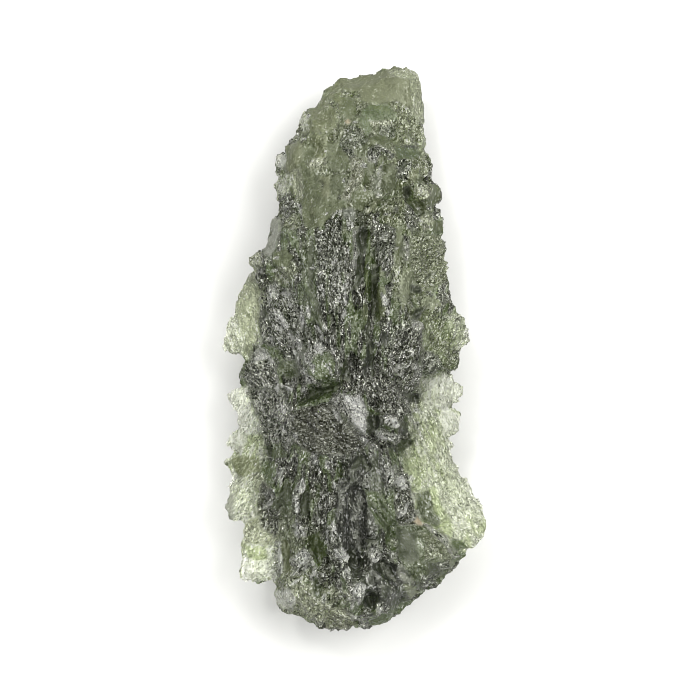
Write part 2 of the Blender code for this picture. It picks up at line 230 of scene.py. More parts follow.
def lineFalloff(places, line, width):  # 1 on the line, 0 beyond its width, narrower at its ends
    nearest = np.full(len(places), np.inf)
    along = np.zeros(len(places))
    lengths = [math.dist(a, b) for a, b in zip(line, line[1:])]
    passed = 0.0
    for start, end, length in zip(line, line[1:], lengths):
        step = np.subtract(end, start)
        share = np.clip((places - start) @ step / length**2, 0, 1)
        distance = np.hypot(*(places - start - share[:, None] * step).T)
        closer = distance < nearest
        nearest = np.where(closer, distance, nearest)
        along = np.where(closer, (passed + share * length) / sum(lengths), along)
        passed += length
    reach = width * (1 - stoneForm["lineTaper"] * np.abs(2 * along - 1) ** 3)
    return np.clip(1 - nearest / reach, 0, 1)


def patchDistance(places, middle, halfLength, halfWidth, turn):  # 1 on the patch's edge
    angle = math.radians(turn)
    x, y = places[:, 0] - middle[0], places[:, 1] - middle[1]
    along = (x * math.cos(angle) + y * math.sin(angle)) / halfLength
    across = (y * math.cos(angle) - x * math.sin(angle)) / halfWidth
    return np.hypot(along, across)


def depthInside(places, border):  # mm from the border, below 0 outside it
    inside = np.zeros(len(places), bool)
    nearest = np.full(len(places), np.inf)
    for start, end in zip(border, border[1:] + border[:1]):
        step = np.subtract(end, start)
        offset = places - start
        crosses = (offset[:, 1] < 0) != (offset[:, 1] < step[1])
        if step[1]:
            inside ^= crosses & (offset[:, 0] < offset[:, 1] * step[0] / step[1])
        share = np.clip(offset @ step / (step @ step), 0, 1)
        nearest = np.minimum(nearest, np.hypot(*(offset - share[:, None] * step).T))
    return np.where(inside, nearest, -nearest)


# the outline, in mm from above, from the top's left corner onwards
outline = {
    "top": [
        (-2.3, 19.5), (-1.5, 20.0), (-0.9, 20.6), (-0.5, 20.3), (1.2, 20.7), (2.0, 21.0), (2.8, 21.3),
        (4.0, 21.2), (4.7, 20.7), (4.9, 20.0)],
    "beaded edge": [
        (4.9, 18.8), (5.1, 17.4), (5.0, 16.4), (5.3, 15.5), (4.9, 15.2), (4.8, 14.9), (5.6, 14.4),
        (5.8, 13.6), (5.6, 13.0), (5.5, 12.7), (6.1, 12.3), (6.4, 11.7), (6.3, 11.1), (5.9, 10.7),
        (6.2, 10.0), (6.6, 9.4), (6.4, 8.8), (6.3, 8.3), (6.8, 7.7), (6.7, 7.0), (6.5, 6.6), (7.0, 6.1),
        (6.7, 5.6), (7.0, 5.2), (7.1, 4.8), (6.9, 4.4), (7.2, 4.1), (7.1, 3.7), (7.5, 3.2), (7.2, 2.8),
        (7.6, 2.6), (8.1, 2.4), (8.3, 1.7), (8.5, 1.0), (8.3, 0.4), (7.6, -0.1), (7.5, -0.8), (7.8, -1.1),
        (7.6, -1.4), (7.1, -1.5)],
    "right flange": [
        (6.9, -1.9), (7.2, -2.1), (7.6, -2.6), (8.1, -3.0), (7.8, -3.5), (7.4, -4.0), (7.0, -4.4),
        (7.4, -4.6), (7.9, -4.8), (7.8, -5.6), (7.9, -6.2), (7.3, -6.4), (6.9, -6.7), (7.1, -6.9),
        (7.5, -7.3), (7.1, -7.7), (7.3, -8.0), (7.2, -8.4), (7.6, -8.7), (7.9, -9.4), (8.4, -9.9),
        (8.8, -10.5), (8.9, -11.1), (9.4, -11.3), (9.6, -11.8), (9.5, -12.3), (9.8, -13.0), (9.6, -13.7),
        (9.5, -14.4), (8.9, -14.8), (8.2, -15.0), (8.2, -15.4)],
    "foot": [
        (7.8, -16.0), (7.4, -16.5), (6.8, -16.8), (6.5, -17.1), (6.0, -17.7), (5.4, -18.1), (4.6, -18.6),
        (4.4, -18.9), (3.7, -19.4), (3.2, -19.9), (2.5, -20.1), (1.9, -20.5), (1.3, -20.7), (0.7, -21.05),
        (0.1, -20.7), (-0.4, -20.6), (-1.0, -20.9), (-1.5, -21.1), (-2.0, -21.0), (-2.3, -20.7),
        (-2.6, -20.9), (-2.9, -20.8), (-3.2, -20.4), (-3.6, -20.5), (-3.9, -20.1), (-4.2, -19.9),
        (-5.1, -19.8), (-5.6, -19.5), (-5.9, -19.0), (-6.1, -18.4), (-5.9, -18.0), (-5.9, -17.4)],
    "left flange": [
        (-6.2, -17.1), (-7.0, -17.6), (-7.9, -17.3), (-8.5, -17.4), (-8.6, -16.6), (-8.5, -15.5),
        (-8.6, -14.4), (-8.4, -14.0), (-8.4, -13.1), (-8.6, -12.9), (-9.2, -12.9), (-9.5, -12.6),
        (-9.8, -11.9), (-9.4, -11.2), (-9.5, -10.4), (-9.3, -9.8), (-9.4, -9.2), (-9.9, -8.6),
        (-9.3, -8.1), (-9.0, -7.9), (-9.3, -7.4), (-9.8, -7.3), (-9.5, -6.8), (-9.3, -6.3), (-8.7, -6.0),
        (-8.9, -5.5), (-8.8, -5.2), (-8.8, -4.6), (-9.1, -4.5), (-9.4, -4.1), (-9.8, -3.6), (-9.7, -3.3),
        (-9.2, -3.1), (-8.7, -3.1), (-8.3, -2.9)],
    "wing": [
        (-8.7, -2.1), (-8.4, -1.2), (-8.0, -0.7), (-9.0, -0.4), (-9.6, -0.2), (-10.0, 0.1), (-9.7, 1.4),
        (-9.0, 3.2), (-8.6, 4.4), (-8.0, 5.4), (-7.7, 6.0), (-7.9, 6.6)],
    "upper left": [
        (-7.2, 7.2), (-6.7, 7.5), (-6.3, 9.0), (-6.2, 9.7), (-5.7, 10.1), (-5.8, 11.0), (-6.0, 12.0),
        (-5.8, 13.0), (-6.0, 13.8), (-6.0, 14.5), (-5.1, 15.5), (-4.6, 16.0), (-4.0, 17.3), (-3.8, 17.9),
        (-2.9, 18.3), (-2.5, 18.8)],
}


def findRim(points, normals):  # the vertices along the outline, without steep inner walls
    columns, rows = np.floor(points[:, :2] / stoneForm["edgeCell"]).astype(int).T
    columns -= columns.min() - 1
    rows -= rows.min() - 1
    covered = np.zeros((columns.max() + 2, rows.max() + 2), bool)
    covered[columns, rows] = True
    inner = covered.copy()
    for axis, step in ((0, 1), (0, -1), (1, 1), (1, -1)):
        inner &= np.roll(covered, step, axis)
    steep = np.abs(normals[:, 2]) < stoneForm["edgeSteepness"]
    return np.flatnonzero(~inner[columns, rows] & steep)


def treeOf(places):
    tree = KDTree(len(places))
    for index, (x, y) in enumerate(places.tolist()):
        tree.insert((x, y, 0.0), index)
    tree.balance()
    return tree


def nearestIn(tree, places, count):  # each place's neighbours, and how far the nearest is
    found = [tree.find_n((x, y, 0.0), count) for x, y in places.tolist()]
    numbers = np.array([[hit[1] for hit in hits] for hits in found])
    return numbers, np.array([hits[0][2] for hits in found])


def shapeTheRim(stone):  # the two sides draw together at the rim, and it moves to the outline
    points = readPoints(stone.data) / mm
    edge = findRim(points, readPoints(stone.data, "normal"))
    rimTree = treeOf(points[edge, :2])
    neighbours, distance = nearestIn(rimTree, points[:, :2], stoneForm["rimNeighbours"])
    level = points[edge[neighbours], 2].mean(axis=1)
    share = smoothStep(0, stoneForm["rimReach"], distance)
    share = stoneForm["rimShare"] + (1 - stoneForm["rimShare"]) * share
    points[:, 2] = np.maximum(level + (points[:, 2] - level) * share, 0)
    corners = np.array([corner for part in outline.values() for corner in part])
    sides = np.roll(corners, -1, axis=0) - corners
    outward = sides @ ((0, 1), (-1, 0)) / np.linalg.norm(sides, axis=1)[:, None]
    steps = np.linspace(0, 1, stoneForm["outlineSteps"], endpoint=False)[:, None, None]
    wanted = corners + steps * sides + outward * stoneForm["outlineGrowth"]
    wanted = wanted.reshape(-1, 2)
    near = np.flatnonzero(distance < stoneForm["outlineReach"])
    hold = 1 - smoothStep(0, stoneForm["outlineReach"], distance[near])
    for _ in range(stoneForm["outlinePasses"]):
        starts, _ = nearestIn(treeOf(points[edge, :2]), wanted, 1)
        places = points[edge[starts[:, 0]], :2]
        hits, _ = nearestIn(treeOf(places), points[near, :2], stoneForm["outlineNeighbours"])
        points[near, :2] += (wanted - places)[hits].mean(axis=1) * hold[:, None]
    writePoints(stone.data, points * mm)
    print("rim shaped")


# what the upper side shows, in mm as seen from above
forms = {
    # a line along the middle, half its width, its depth
    "grooves": [
        ([(0.85, 9.0), (0.45, 8.3), (0.5, 7.3)], 0.42, 0.6),
        ([(0.5, 7.4), (0.3, 6.6), (0.3, 5.6), (0.05, 4.8), (-0.3, 4.3)], 0.27, 0.45),
        ([(1.55, 7.4), (1.4, 6.9)], 0.22, 0.5),
        ([(1.6, 6.4), (1.38, 5.7), (1.35, 4.0), (1.38, 2.1)], 0.2, 0.45),
        ([(1.1, 2.4), (0.85, 1.0), (1.2, -0.3), (1.25, -2.2)], 0.2, 0.5),
        ([(-2.08, 8.5), (-2.06, 6.0), (-2.05, 4.2)], 0.09, 0.25),
        ([(-0.72, 5.6), (-0.7, 4.0)], 0.09, 0.2),
        ([(-1.0, 9.6), (-0.95, 7.5), (-0.85, 5.8)], 0.1, 0.16),
        ([(-3.2, 8.4), (-3.3, 6.5), (-3.35, 4.6), (-2.7, 2.8), (-2.5, 1.4)], 0.24, 0.4),
        ([(-3.9, 8.0), (-3.92, 6.6), (-3.8, 5.0)], 0.16, 0.3),
        ([(-3.75, 1.8), (-3.7, 0.5), (-4.0, -0.5), (-3.4, -2.0)], 0.22, 0.4),
        ([(-4.3, 0.2), (-4.5, -1.0), (-4.2, -2.6)], 0.2, 0.4),
        ([(-5.3, 2.9), (-4.8, 1.9), (-4.6, 0.8)], 0.3, 0.4),
        ([(-6.8, 3.0), (-6.3, 1.6), (-5.6, 0.2), (-5.3, -0.4)], 0.2, 0.4),
        ([(-6.3, 3.6), (-5.9, 3.2)], 0.25, 0.35),
        ([(-4.3, -4.1), (-3.4, -3.5), (-2.6, -3.2), (-1.4, -2.85)], 0.4, 0.6),
        ([(-1.2, -0.9), (-1.15, -2.0), (-1.3, -2.9)], 0.16, 0.5),
        ([(-0.6, -0.9), (-0.75, -1.7), (-0.5, -2.4)], 0.24, 0.6),
        ([(1.15, -4.8), (1.35, -5.5), (1.05, -6.2)], 0.4, 0.6),
        ([(3.4, -5.5), (3.8, -5.9)], 0.35, 0.4),
        ([(2.6, -7.6), (3.4, -7.2), (4.3, -6.9)], 0.4, 0.5),
        ([(-0.2, -8.9), (0.4, -8.1), (1.0, -9.0)], 0.3, 0.5),
        ([(3.7, -3.3), (4.7, -3.8)], 0.28, 0.4),
        ([(4.85, -0.3), (4.85, -1.2), (4.9, -1.9)], 0.14, 0.4),
        ([(3.9, 9.0), (3.5, 8.0), (3.45, 7.0), (3.9, 6.1)], 0.13, 0.35),
        ([(4.1, 4.5), (4.8, 4.5)], 0.3, 0.4),
        ([(4.2, 2.2), (4.6, 2.85), (5.3, 3.0)], 0.24, 0.5),
        ([(4.95, 4.9), (5.4, 5.4), (6.1, 5.8)], 0.16, 0.35),
        ([(3.9, 11.1), (4.4, 10.45), (5.1, 10.1), (6.0, 10.15)], 0.16, 0.3),
        ([(3.8, 12.1), (3.9, 11.3)], 0.3, 0.4),
        ([(3.3, 13.3), (3.9, 13.9)], 0.25, 0.35),
        ([(-6.6, -7.2), (-6.4, -8.0)], 0.2, 0.5),
        ([(-5.0, -9.8), (-5.2, -11.0), (-5.6, -11.6), (-5.1, -12.9)], 0.45, 0.2),
        ([(-3.6, -10.4), (-3.8, -11.4), (-3.6, -12.4)], 0.45, 0.2),
        ([(-2.8, -11.8), (-2.75, -12.5)], 0.22, 0.3),
        ([(-3.3, -13.0), (-2.9, -14.4), (-2.6, -15.8)], 0.5, 0.2),
        ([(-5.3, -14.2), (-5.2, -15.6), (-5.1, -17.0)], 0.4, 0.15),
        ([(-3.0, -17.0), (-2.9, -18.5)], 0.36, 0.2),
        ([(-0.3, -14.8), (-0.2, -16.0), (0.0, -17.0)], 0.5, 0.3),
        ([(0.8, -14.2), (1.6, -14.2)], 0.35, 0.25),
        ([(1.4, -16.2), (2.4, -16.4), (2.9, -17.2)], 0.45, 0.35),
        ([(2.6, -18.8), (3.4, -18.9)], 0.35, 0.4),
        ([(0.9, -18.4), (1.2, -19.2)], 0.3, 0.4),
        ([(0.9, -11.0), (1.9, -12.4), (2.7, -14.0)], 0.2, 0.35),
        ([(1.6, -11.0), (2.6, -12.6), (3.3, -13.6)], 0.16, 0.3),
        ([(4.6, -17.6), (5.3, -18.0)], 0.3, 0.3),
    ],
    # a line along the crest, half its width, its height
    "ridges": [
        ([(1.0, 9.0), (1.05, 7.8), (1.1, 6.8)], 0.18, 0.3),
        ([(0.9, 6.4), (0.85, 5.0), (0.75, 3.8), (0.6, 2.4)], 0.28, 0.35),
        ([(1.75, 6.2), (1.75, 5.0), (1.72, 3.4), (1.7, 2.0)], 0.2, 0.35),
        ([(-1.9, 8.9), (-1.5, 10.1), (-1.1, 9.8)], 0.14, 0.3),
        ([(-2.5, 8.2), (-2.6, 6.5), (-2.55, 4.6)], 0.4, 0.25),
        ([(-3.75, 4.6), (-3.2, 3.2), (-2.7, 1.6)], 0.1, 0.25),
        ([(3.75, 8.4), (3.7, 7.4), (3.85, 6.5)], 0.16, 0.3),
        ([(0.0, 16.9), (0.5, 16.2), (1.1, 15.4)], 0.12, 0.25),
        ([(1.2, 15.0), (1.8, 15.1), (2.3, 14.8), (2.85, 14.2)], 0.16, 0.35),
        ([(1.4, 13.8), (1.55, 12.6), (1.6, 11.0)], 0.3, 0.35),
        ([(-0.2, 14.2), (0.0, 12.8), (-0.5, 11.2)], 0.16, 0.2),
        ([(0.5, 14.0), (0.4, 12.6), (0.0, 11.0)], 0.14, 0.2),
        ([(-4.5, 11.1), (-4.3, 10.6), (-4.1, 10.1)], 0.14, 0.35),
        ([(-7.15, 3.6), (-7.3, 1.6), (-7.3, 0.2), (-6.9, -0.6)], 0.2, 0.35),
        ([(5.2, -13.1), (6.2, -13.7), (7.0, -14.4), (7.6, -15.4)], 0.17, 0.4),
        ([(-4.35, -10.5), (-4.4, -11.6), (-4.3, -12.4)], 0.26, 0.35),
        ([(-4.4, -12.4), (-4.1, -13.3), (-3.8, -14.2)], 0.4, 0.4),
        ([(-5.7, -14.3), (-5.7, -15.8), (-5.6, -17.3)], 0.28, 0.4),
        ([(-2.1, -12.9), (-1.6, -14.4), (-1.0, -15.6), (-0.7, -17.0)], 0.45, 0.4),
        ([(-0.4, -19.3), (0.2, -20.2), (0.9, -21.0)], 0.22, 0.35),
        ([(3.2, -16.9), (4.2, -17.4), (5.2, -17.9)], 0.2, 0.25),
        ([(-6.9, -6.8), (-6.9, -7.6), (-6.6, -8.2)], 0.15, 0.3),
    ],
    # the middle, half the length and width, the turn of the length, then its own slopes, if any
    "facets": [
        ((-0.35, -4.0), 1.0, 0.55, -35),
        ((0.35, -5.2), 1.1, 0.6, -60),
        ((2.7, -5.4), 0.6, 0.5, 0),
        ((2.5, -6.5), 1.0, 0.3, -35, -0.35, -0.25),
        ((2.15, 3.6), 0.5, 0.2, 70),
        ((2.35, 2.65), 0.25, 0.18, 0),
        ((-6.2, 4.25), 0.4, 0.2, 80),
        ((-5.4, 4.35), 0.35, 0.18, 0),
        ((-5.8, 2.6), 0.4, 0.25, -35),
        ((-5.25, 1.9), 0.4, 0.2, -40),
        ((-5.65, 1.4), 0.45, 0.18, -50),
        ((-4.1, 1.7), 0.35, 0.2, -60),
        ((-4.7, 1.0), 0.35, 0.15, -60),
        ((-2.8, -0.2), 0.5, 0.2, 40),
        ((-3.3, -2.2), 0.5, 0.2, -50),
        ((-4.4, -0.4), 0.6, 0.2, -60),
        ((-7.0, -1.1), 0.7, 0.5, -40),
        ((-4.9, -2.9), 0.5, 0.2, -30),
        ((4.45, -1.35), 0.45, 0.22, 60),
        ((5.6, -1.0), 0.7, 0.5, -50, -0.25, -0.1),
        ((3.2, -1.7), 0.5, 0.22, -60),
        ((4.9, -5.1), 0.6, 0.45, -50, -0.3, -0.15),
        ((0.35, -18.0), 0.7, 0.28, 80),
        ((1.8, -19.2), 0.5, 0.22, 60),
        ((3.45, -9.9), 0.4, 0.25, 60),
        ((3.3, -12.2), 0.4, 0.15, 70),
        ((3.8, -11.9), 0.5, 0.15, 70),
        ((3.5, -16.8), 0.6, 0.4, -30),
        ((-4.0, -15.6), 0.8, 0.5, 50),
        ((-7.0, -11.0), 0.7, 0.4, 40, -0.3, -0.15),
        ((1.5, -15.3), 0.4, 0.3, 40, -0.4, -0.15),
        ((2.8, -15.3), 0.3, 0.25, 40, -0.4, -0.15),
        ((-3.8, 17.4), 0.3, 0.25, 40),
        ((-3.7, 16.6), 0.6, 0.25, 60, -0.35, -0.2),
    ],
    # the tint, the outline, then the way its grain runs in degrees, if it has its own
    # dark shapes are painted shade in hollows; pale, white and bright ones are partly painted highlights
    "shapes": [
        # the top
        ("pale olive", [
            (-2.3, 19.6), (-1.0, 20.6), (1.2, 20.7), (2.8, 21.3), (4.2, 21.2), (4.9, 20.0), (5.0, 18.0),
            (3.6, 18.2), (3.2, 18.6), (2.4, 18.4), (0.8, 18.5), (-0.2, 19.0), (-1.2, 18.6), (-2.0, 18.2)]),
        ("palest olive", [
            (2.4, 21.1), (4.2, 21.2), (4.9, 20.6), (5.1, 17.4), (4.6, 17.3), (4.2, 18.8), (4.1, 20.2),
            (3.2, 20.3), (2.5, 20.6)]),
        ("light olive", [
            (-2.2, 19.4), (-1.2, 20.2), (-0.6, 19.3), (-0.9, 18.6), (-1.1, 17.6), (-1.4, 16.6),
            (-2.4, 16.2), (-3.2, 16.2), (-4.2, 16.2), (-3.9, 17.6), (-2.9, 18.3)]),
        ("speckled olive", [(-1.1, 19.5), (0.2, 19.4), (0.5, 18.9), (-0.4, 18.9), (-1.1, 18.9)]),
        ("speckled olive", [
            (-2.0, 18.8), (-1.4, 18.6), (-1.1, 17.6), (-1.0, 17.0), (-1.4, 17.0), (-1.5, 17.9),
            (-2.0, 18.2)]),
        ("olive", [(-1.0, 18.9), (-0.3, 18.9), (0.0, 18.2), (0.0, 17.4), (-0.5, 17.2), (-1.0, 17.6)]),
        ("light vivid", [
            (0.6, 18.0), (1.2, 18.3), (2.4, 18.3), (3.2, 17.6), (3.4, 16.9), (2.6, 17.0), (1.4, 17.0),
            (1.2, 16.2), (0.8, 15.8), (0.4, 16.6), (0.3, 17.2)]),
        ("vivid green", [(1.2, 18.3), (2.1, 18.2), (2.6, 17.9), (2.4, 17.6), (1.6, 17.9), (1.2, 18.0)]),
        ("speckled olive", [(0.0, 18.6), (0.7, 18.5), (1.0, 18.3), (0.4, 17.9), (0.1, 17.3), (0.0, 17.9)]),
        ("speckled pale", [(1.1, 17.0), (1.7, 17.0), (2.8, 17.1), (2.7, 16.7), (1.8, 16.7), (1.2, 16.6)]),
        ("speckled dark", [(1.8, 16.6), (3.0, 16.7), (3.1, 15.9), (2.4, 15.6), (1.9, 16.0)]),
        ("speckled olive", [
            (3.1, 17.6), (4.4, 17.6), (4.9, 16.4), (5.1, 15.6), (4.0, 15.3), (3.0, 15.6), (3.2, 16.6)]),
        ("dark olive", [(3.7, 16.1), (4.3, 16.2), (4.3, 15.8), (3.9, 15.7)]),
        ("light vivid", [(2.9, 15.1), (4.6, 15.0), (5.0, 14.5), (4.0, 14.1), (3.1, 14.2)]),
        ("dark", [(3.6, 15.15), (4.5, 15.2), (4.4, 14.95), (3.7, 14.95)]),
        ("olive", [(0.9, 15.7), (1.5, 15.9), (2.2, 15.9), (2.5, 15.5), (1.9, 15.1), (1.2, 15.3)]),
        ("speckled dark", [
            (-0.5, 16.8), (0.1, 16.6), (1.0, 15.5), (0.4, 14.9), (-0.6, 15.0), (-1.3, 15.0),
            (-1.0, 15.9)]),
        ("pale grey", [(-1.0, 15.0), (-0.2, 14.9), (0.1, 14.4), (-0.3, 14.0), (-0.9, 14.3)], 70),
        ("dark olive", [(0.0, 14.9), (1.1, 15.0), (1.1, 14.4), (0.2, 14.3), (-0.2, 14.4)]),
        # a painted highlight on a rim that faces the light, then a painted shadow beside it
        ("pale", [
            (1.1, 14.9), (1.6, 15.15), (2.2, 14.95), (2.9, 14.3), (2.4, 14.0), (1.9, 14.5), (1.6, 14.2),
            (1.5, 13.6), (1.0, 13.9), (0.9, 14.4)], 80),
        ("dark olive", [(2.0, 14.6), (2.5, 14.2), (2.2, 14.0), (1.9, 14.3)]),
        ("olive", [
            (-2.2, 15.4), (-1.3, 15.4), (-1.0, 14.8), (-0.4, 14.3), (-0.5, 13.4), (-1.2, 13.1),
            (-2.0, 13.2), (-2.1, 14.0)]),
        ("dark olive", [(-2.0, 14.0), (-0.5, 13.9), (-0.6, 13.3), (-1.3, 13.1), (-2.0, 13.3)]),
        ("light olive", [(-3.5, 16.0), (-2.0, 16.1), (-2.2, 15.0), (-2.2, 14.2), (-3.0, 14.2)]),
        ("olive", [(-4.0, 15.2), (-3.0, 15.4), (-3.1, 14.2), (-3.9, 14.0)]),
        ("right pale", [(-4.3, 17.4), (-3.6, 17.5), (-3.4, 16.4), (-4.1, 16.3)]),
        ("pale olive", [
            (-5.3, 15.3), (-4.3, 15.6), (-3.9, 14.6), (-4.1, 13.6), (-5.0, 13.0), (-5.4, 13.6)], 75),
        ("left pale", [(-6.1, 14.6), (-5.3, 14.8), (-5.1, 14.2), (-5.3, 13.6), (-6.0, 13.5)]),
        ("right pale", [
            (-6.1, 13.2), (-5.0, 13.1), (-4.5, 12.6), (-4.6, 11.9), (-5.3, 11.4), (-6.0, 11.5)]),
        ("dark olive", [(-4.95, 12.2), (-4.5, 12.1), (-4.55, 11.6), (-4.95, 11.6)]),
        ("olive", [
            (-4.4, 13.6), (-3.9, 14.0), (-3.3, 13.2), (-2.7, 13.3), (-2.5, 12.9), (-2.7, 12.2),
            (-2.4, 11.6), (-1.9, 11.2), (-1.0, 11.0), (-0.9, 10.4), (-1.5, 10.2), (-2.1, 9.5), (-2.6, 9.0),
            (-3.2, 8.9), (-3.9, 9.3), (-4.1, 10.2), (-4.2, 11.0), (-4.45, 12.0)]),
        ("dark olive", [
            (-3.1, 13.2), (-2.6, 13.2), (-2.6, 12.6), (-2.9, 12.0), (-3.2, 11.6), (-3.4, 11.8),
            (-3.1, 12.4)]),
        ("pale olive", [
            (-2.7, 12.8), (-2.0, 12.9), (-1.8, 12.0), (-1.9, 11.2), (-2.5, 11.2), (-2.5, 12.2)]),
        ("speckled pale", [(-3.7, 13.8), (-3.0, 13.6), (-2.2, 13.8), (-2.3, 14.2), (-2.9, 14.2)]),
        ("dark olive", [
            (-1.8, 12.9), (-0.8, 13.0), (-0.6, 12.2), (-0.9, 11.4), (-1.6, 11.2), (-1.9, 12.0)]),
        ("light olive", [(-3.4, 11.2), (-3.2, 11.1), (-3.0, 9.9), (-3.3, 9.8)]),
        ("grey band", [
            (-0.3, 14.2), (0.7, 14.2), (0.7, 13.0), (0.2, 12.2), (-0.2, 11.2), (-0.6, 10.9), (-1.1, 11.2),
            (-0.6, 12.0), (-0.3, 13.0)], 80),
        ("olive", [(-0.2, 11.6), (0.9, 12.0), (1.2, 11.3), (0.6, 10.2), (0.0, 10.4), (-0.4, 11.0)]),
        ("dark olive", [
            (0.7, 14.0), (1.4, 13.8), (1.5, 13.3), (1.1, 12.9), (1.0, 12.3), (0.6, 12.2), (0.6, 13.0)]),
        ("right thin", [
            (1.15, 12.9), (1.5, 13.1), (2.0, 14.0), (2.1, 13.6), (1.9, 12.6), (1.8, 11.6), (2.0, 11.1),
            (1.5, 11.1), (1.2, 11.8), (1.2, 12.4)]),
        ("light olive", [(1.5, 11.1), (1.0, 10.4), (0.7, 9.8), (0.9, 9.7), (1.3, 10.3), (2.0, 11.0)]),
        ("dark olive", [
            (2.05, 13.7), (2.9, 13.6), (3.1, 12.9), (3.0, 12.0), (2.6, 11.5), (2.1, 11.6), (1.95, 12.6)]),
        ("pale grey", [(3.0, 13.5), (3.3, 14.1), (4.1, 14.0), (4.1, 12.9), (3.7, 12.3), (3.2, 12.6)]),
        ("dark", [(3.2, 13.2), (3.6, 13.9), (3.8, 13.8), (3.5, 13.1)], 50),
        ("speckled olive", [(4.1, 14.1), (5.2, 14.2), (5.6, 13.2), (4.9, 13.0), (4.7, 13.5)]),
        ("light olive", [(4.0, 13.2), (4.7, 13.4), (4.6, 12.7), (4.3, 12.3), (4.0, 12.6)]),
        ("dark olive", [(4.5, 12.8), (5.1, 12.95), (5.1, 12.4), (4.6, 12.2)]),
        ("dark", [(3.65, 12.1), (4.1, 12.1), (4.0, 11.2), (3.7, 11.2)]),
        ("speckled pale", [(4.3, 12.0), (5.2, 12.2), (5.8, 11.9), (5.6, 11.2), (4.9, 11.0), (4.4, 11.0)]),
        ("olive", [(5.3, 12.5), (6.2, 12.3), (6.5, 11.5), (6.1, 10.8), (5.5, 11.2), (5.7, 12.0)]),
        ("dark olive", [
            (4.5, 11.0), (5.3, 11.05), (6.0, 10.8), (5.9, 10.2), (5.2, 10.0), (4.6, 10.3), (4.1, 10.8)]),
        ("pale", [(5.3, 10.6), (5.7, 10.6), (5.7, 10.35), (5.35, 10.3)]),
        ("speckled pale", [(4.8, 9.9), (5.9, 10.1), (5.9, 9.0), (5.0, 8.8)]),
        ("olive", [(5.9, 9.6), (6.6, 9.5), (6.5, 8.8), (5.9, 8.8)]),
        ("speckled olive", [
            (4.2, 8.6), (6.4, 8.5), (6.9, 7.0), (7.1, 5.2), (5.2, 4.4), (4.4, 5.0), (4.0, 6.8)], 20),
        ("olive", [(-6.2, 7.2), (-5.0, 7.4), (-4.6, 6.8), (-4.9, 6.2), (-5.8, 6.0), (-6.2, 6.5)]),
        ("speckled olive", [(-5.5, 10.0), (-4.3, 10.2), (-4.1, 9.0), (-4.6, 8.7), (-5.3, 9.2)]),
        ("milky", [
            (-6.3, 9.9), (-5.7, 9.8), (-5.7, 8.6), (-5.9, 7.6), (-6.4, 6.9), (-7.0, 7.2),
            (-6.4, 8.6)], 70),
        ("grey", [(-5.6, 11.4), (-4.9, 11.8), (-4.7, 11.2), (-4.4, 10.2), (-5.4, 9.9), (-5.4, 10.8)]),
        # a painted highlight on the crest of a ridge
        ("bright", [(-4.65, 11.1), (-4.4, 11.0), (-4.05, 10.5), (-4.1, 10.0), (-4.35, 10.5)]),
        ("dark green", [(-3.55, 8.6), (-3.0, 8.3), (-2.95, 6.0), (-3.1, 4.5), (-3.6, 4.5), (-3.7, 6.5)]),
        ("dark green", [(-3.95, 8.6), (-3.75, 8.2), (-3.7, 6.6), (-3.9, 5.0), (-4.05, 6.5)]),
        ("pale grey", [
            (-2.9, 8.6), (-2.2, 8.9), (-2.1, 8.5), (-2.12, 4.5), (-2.3, 3.0), (-2.7, 3.0), (-2.95, 5.0)]),
        ("pale grey", [
            (-2.0, 9.2), (-1.6, 9.7), (-1.1, 9.6), (-1.0, 8.0), (-0.95, 6.4), (-1.1, 4.0), (-1.4, 2.4),
            (-2.0, 2.6)]),
        ("pale", [(-1.95, 9.3), (-1.75, 9.9), (-1.35, 10.3), (-1.0, 10.15), (-1.4, 10.0), (-1.7, 9.5)]),
        ("bluish", [(-0.9, 10.3), (-0.3, 10.45), (0.1, 10.2), (0.05, 9.6), (-0.4, 9.5), (-0.9, 9.8)]),
        ("speckled dark", [(0.1, 10.2), (0.9, 10.1), (1.0, 9.5), (0.6, 9.0), (0.1, 9.0)]),
        ("pale", [(-0.15, 8.8), (0.05, 8.8), (0.1, 7.2), (0.0, 6.0), (-0.2, 6.0), (-0.1, 7.4)], 85),
        ("pale grey", [
            (1.2, 9.2), (2.3, 9.3), (3.0, 8.9), (3.1, 7.0), (2.6, 5.6), (1.9, 5.8), (1.75, 7.0),
            (1.6, 8.2)], 60),
        ("dark", [(0.15, 8.9), (0.8, 9.1), (0.85, 8.0), (0.8, 7.0), (0.5, 7.0), (0.3, 7.2), (0.1, 7.6)]),
        ("dark", [
            (0.2, 6.9), (0.6, 6.9), (0.7, 6.2), (0.5, 5.6), (0.4, 5.0), (0.05, 4.6), (0.05, 5.8),
            (0.1, 6.5)]),
        ("rib green", [
            (0.9, 9.1), (1.05, 8.4), (1.15, 7.0), (1.3, 6.8), (1.1, 6.3), (0.95, 6.9), (0.9, 7.8)]),
        ("dark", [(1.35, 7.2), (1.6, 7.5), (1.75, 7.3), (1.6, 6.9), (1.35, 6.8)]),
        ("dark", [(1.3, 6.1), (1.6, 6.3), (1.7, 6.1), (1.5, 5.5), (1.2, 5.5)]),
        ("olive", [(2.9, 8.8), (3.4, 9.0), (3.4, 7.4), (3.2, 6.2), (2.9, 6.4), (3.0, 7.6)], 90),
        ("pale", [(3.6, 8.4), (3.95, 8.2), (3.95, 6.6), (3.7, 6.5), (3.6, 7.4)], 80),
        ("speckled olive", [(2.0, 11.0), (3.6, 11.2), (3.6, 9.3), (2.6, 9.1), (2.0, 9.5)]),
        ("dark", [(2.95, 10.6), (3.2, 10.6), (3.2, 10.1), (2.95, 10.2)]),
        ("pale grey", [(3.7, 10.7), (4.1, 10.6), (4.6, 10.1), (4.7, 9.1), (3.8, 9.2)], 85),
        ("dark", [(4.0, 9.0), (4.4, 9.1), (4.4, 8.7), (4.1, 8.7)]),
        # the flanges
        ("light olive", [
            (-9.4, -8.3), (-8.9, -8.0), (-7.2, -8.1), (-7.1, -9.3), (-7.9, -9.3), (-8.2, -9.6),
            (-9.0, -9.5)]),
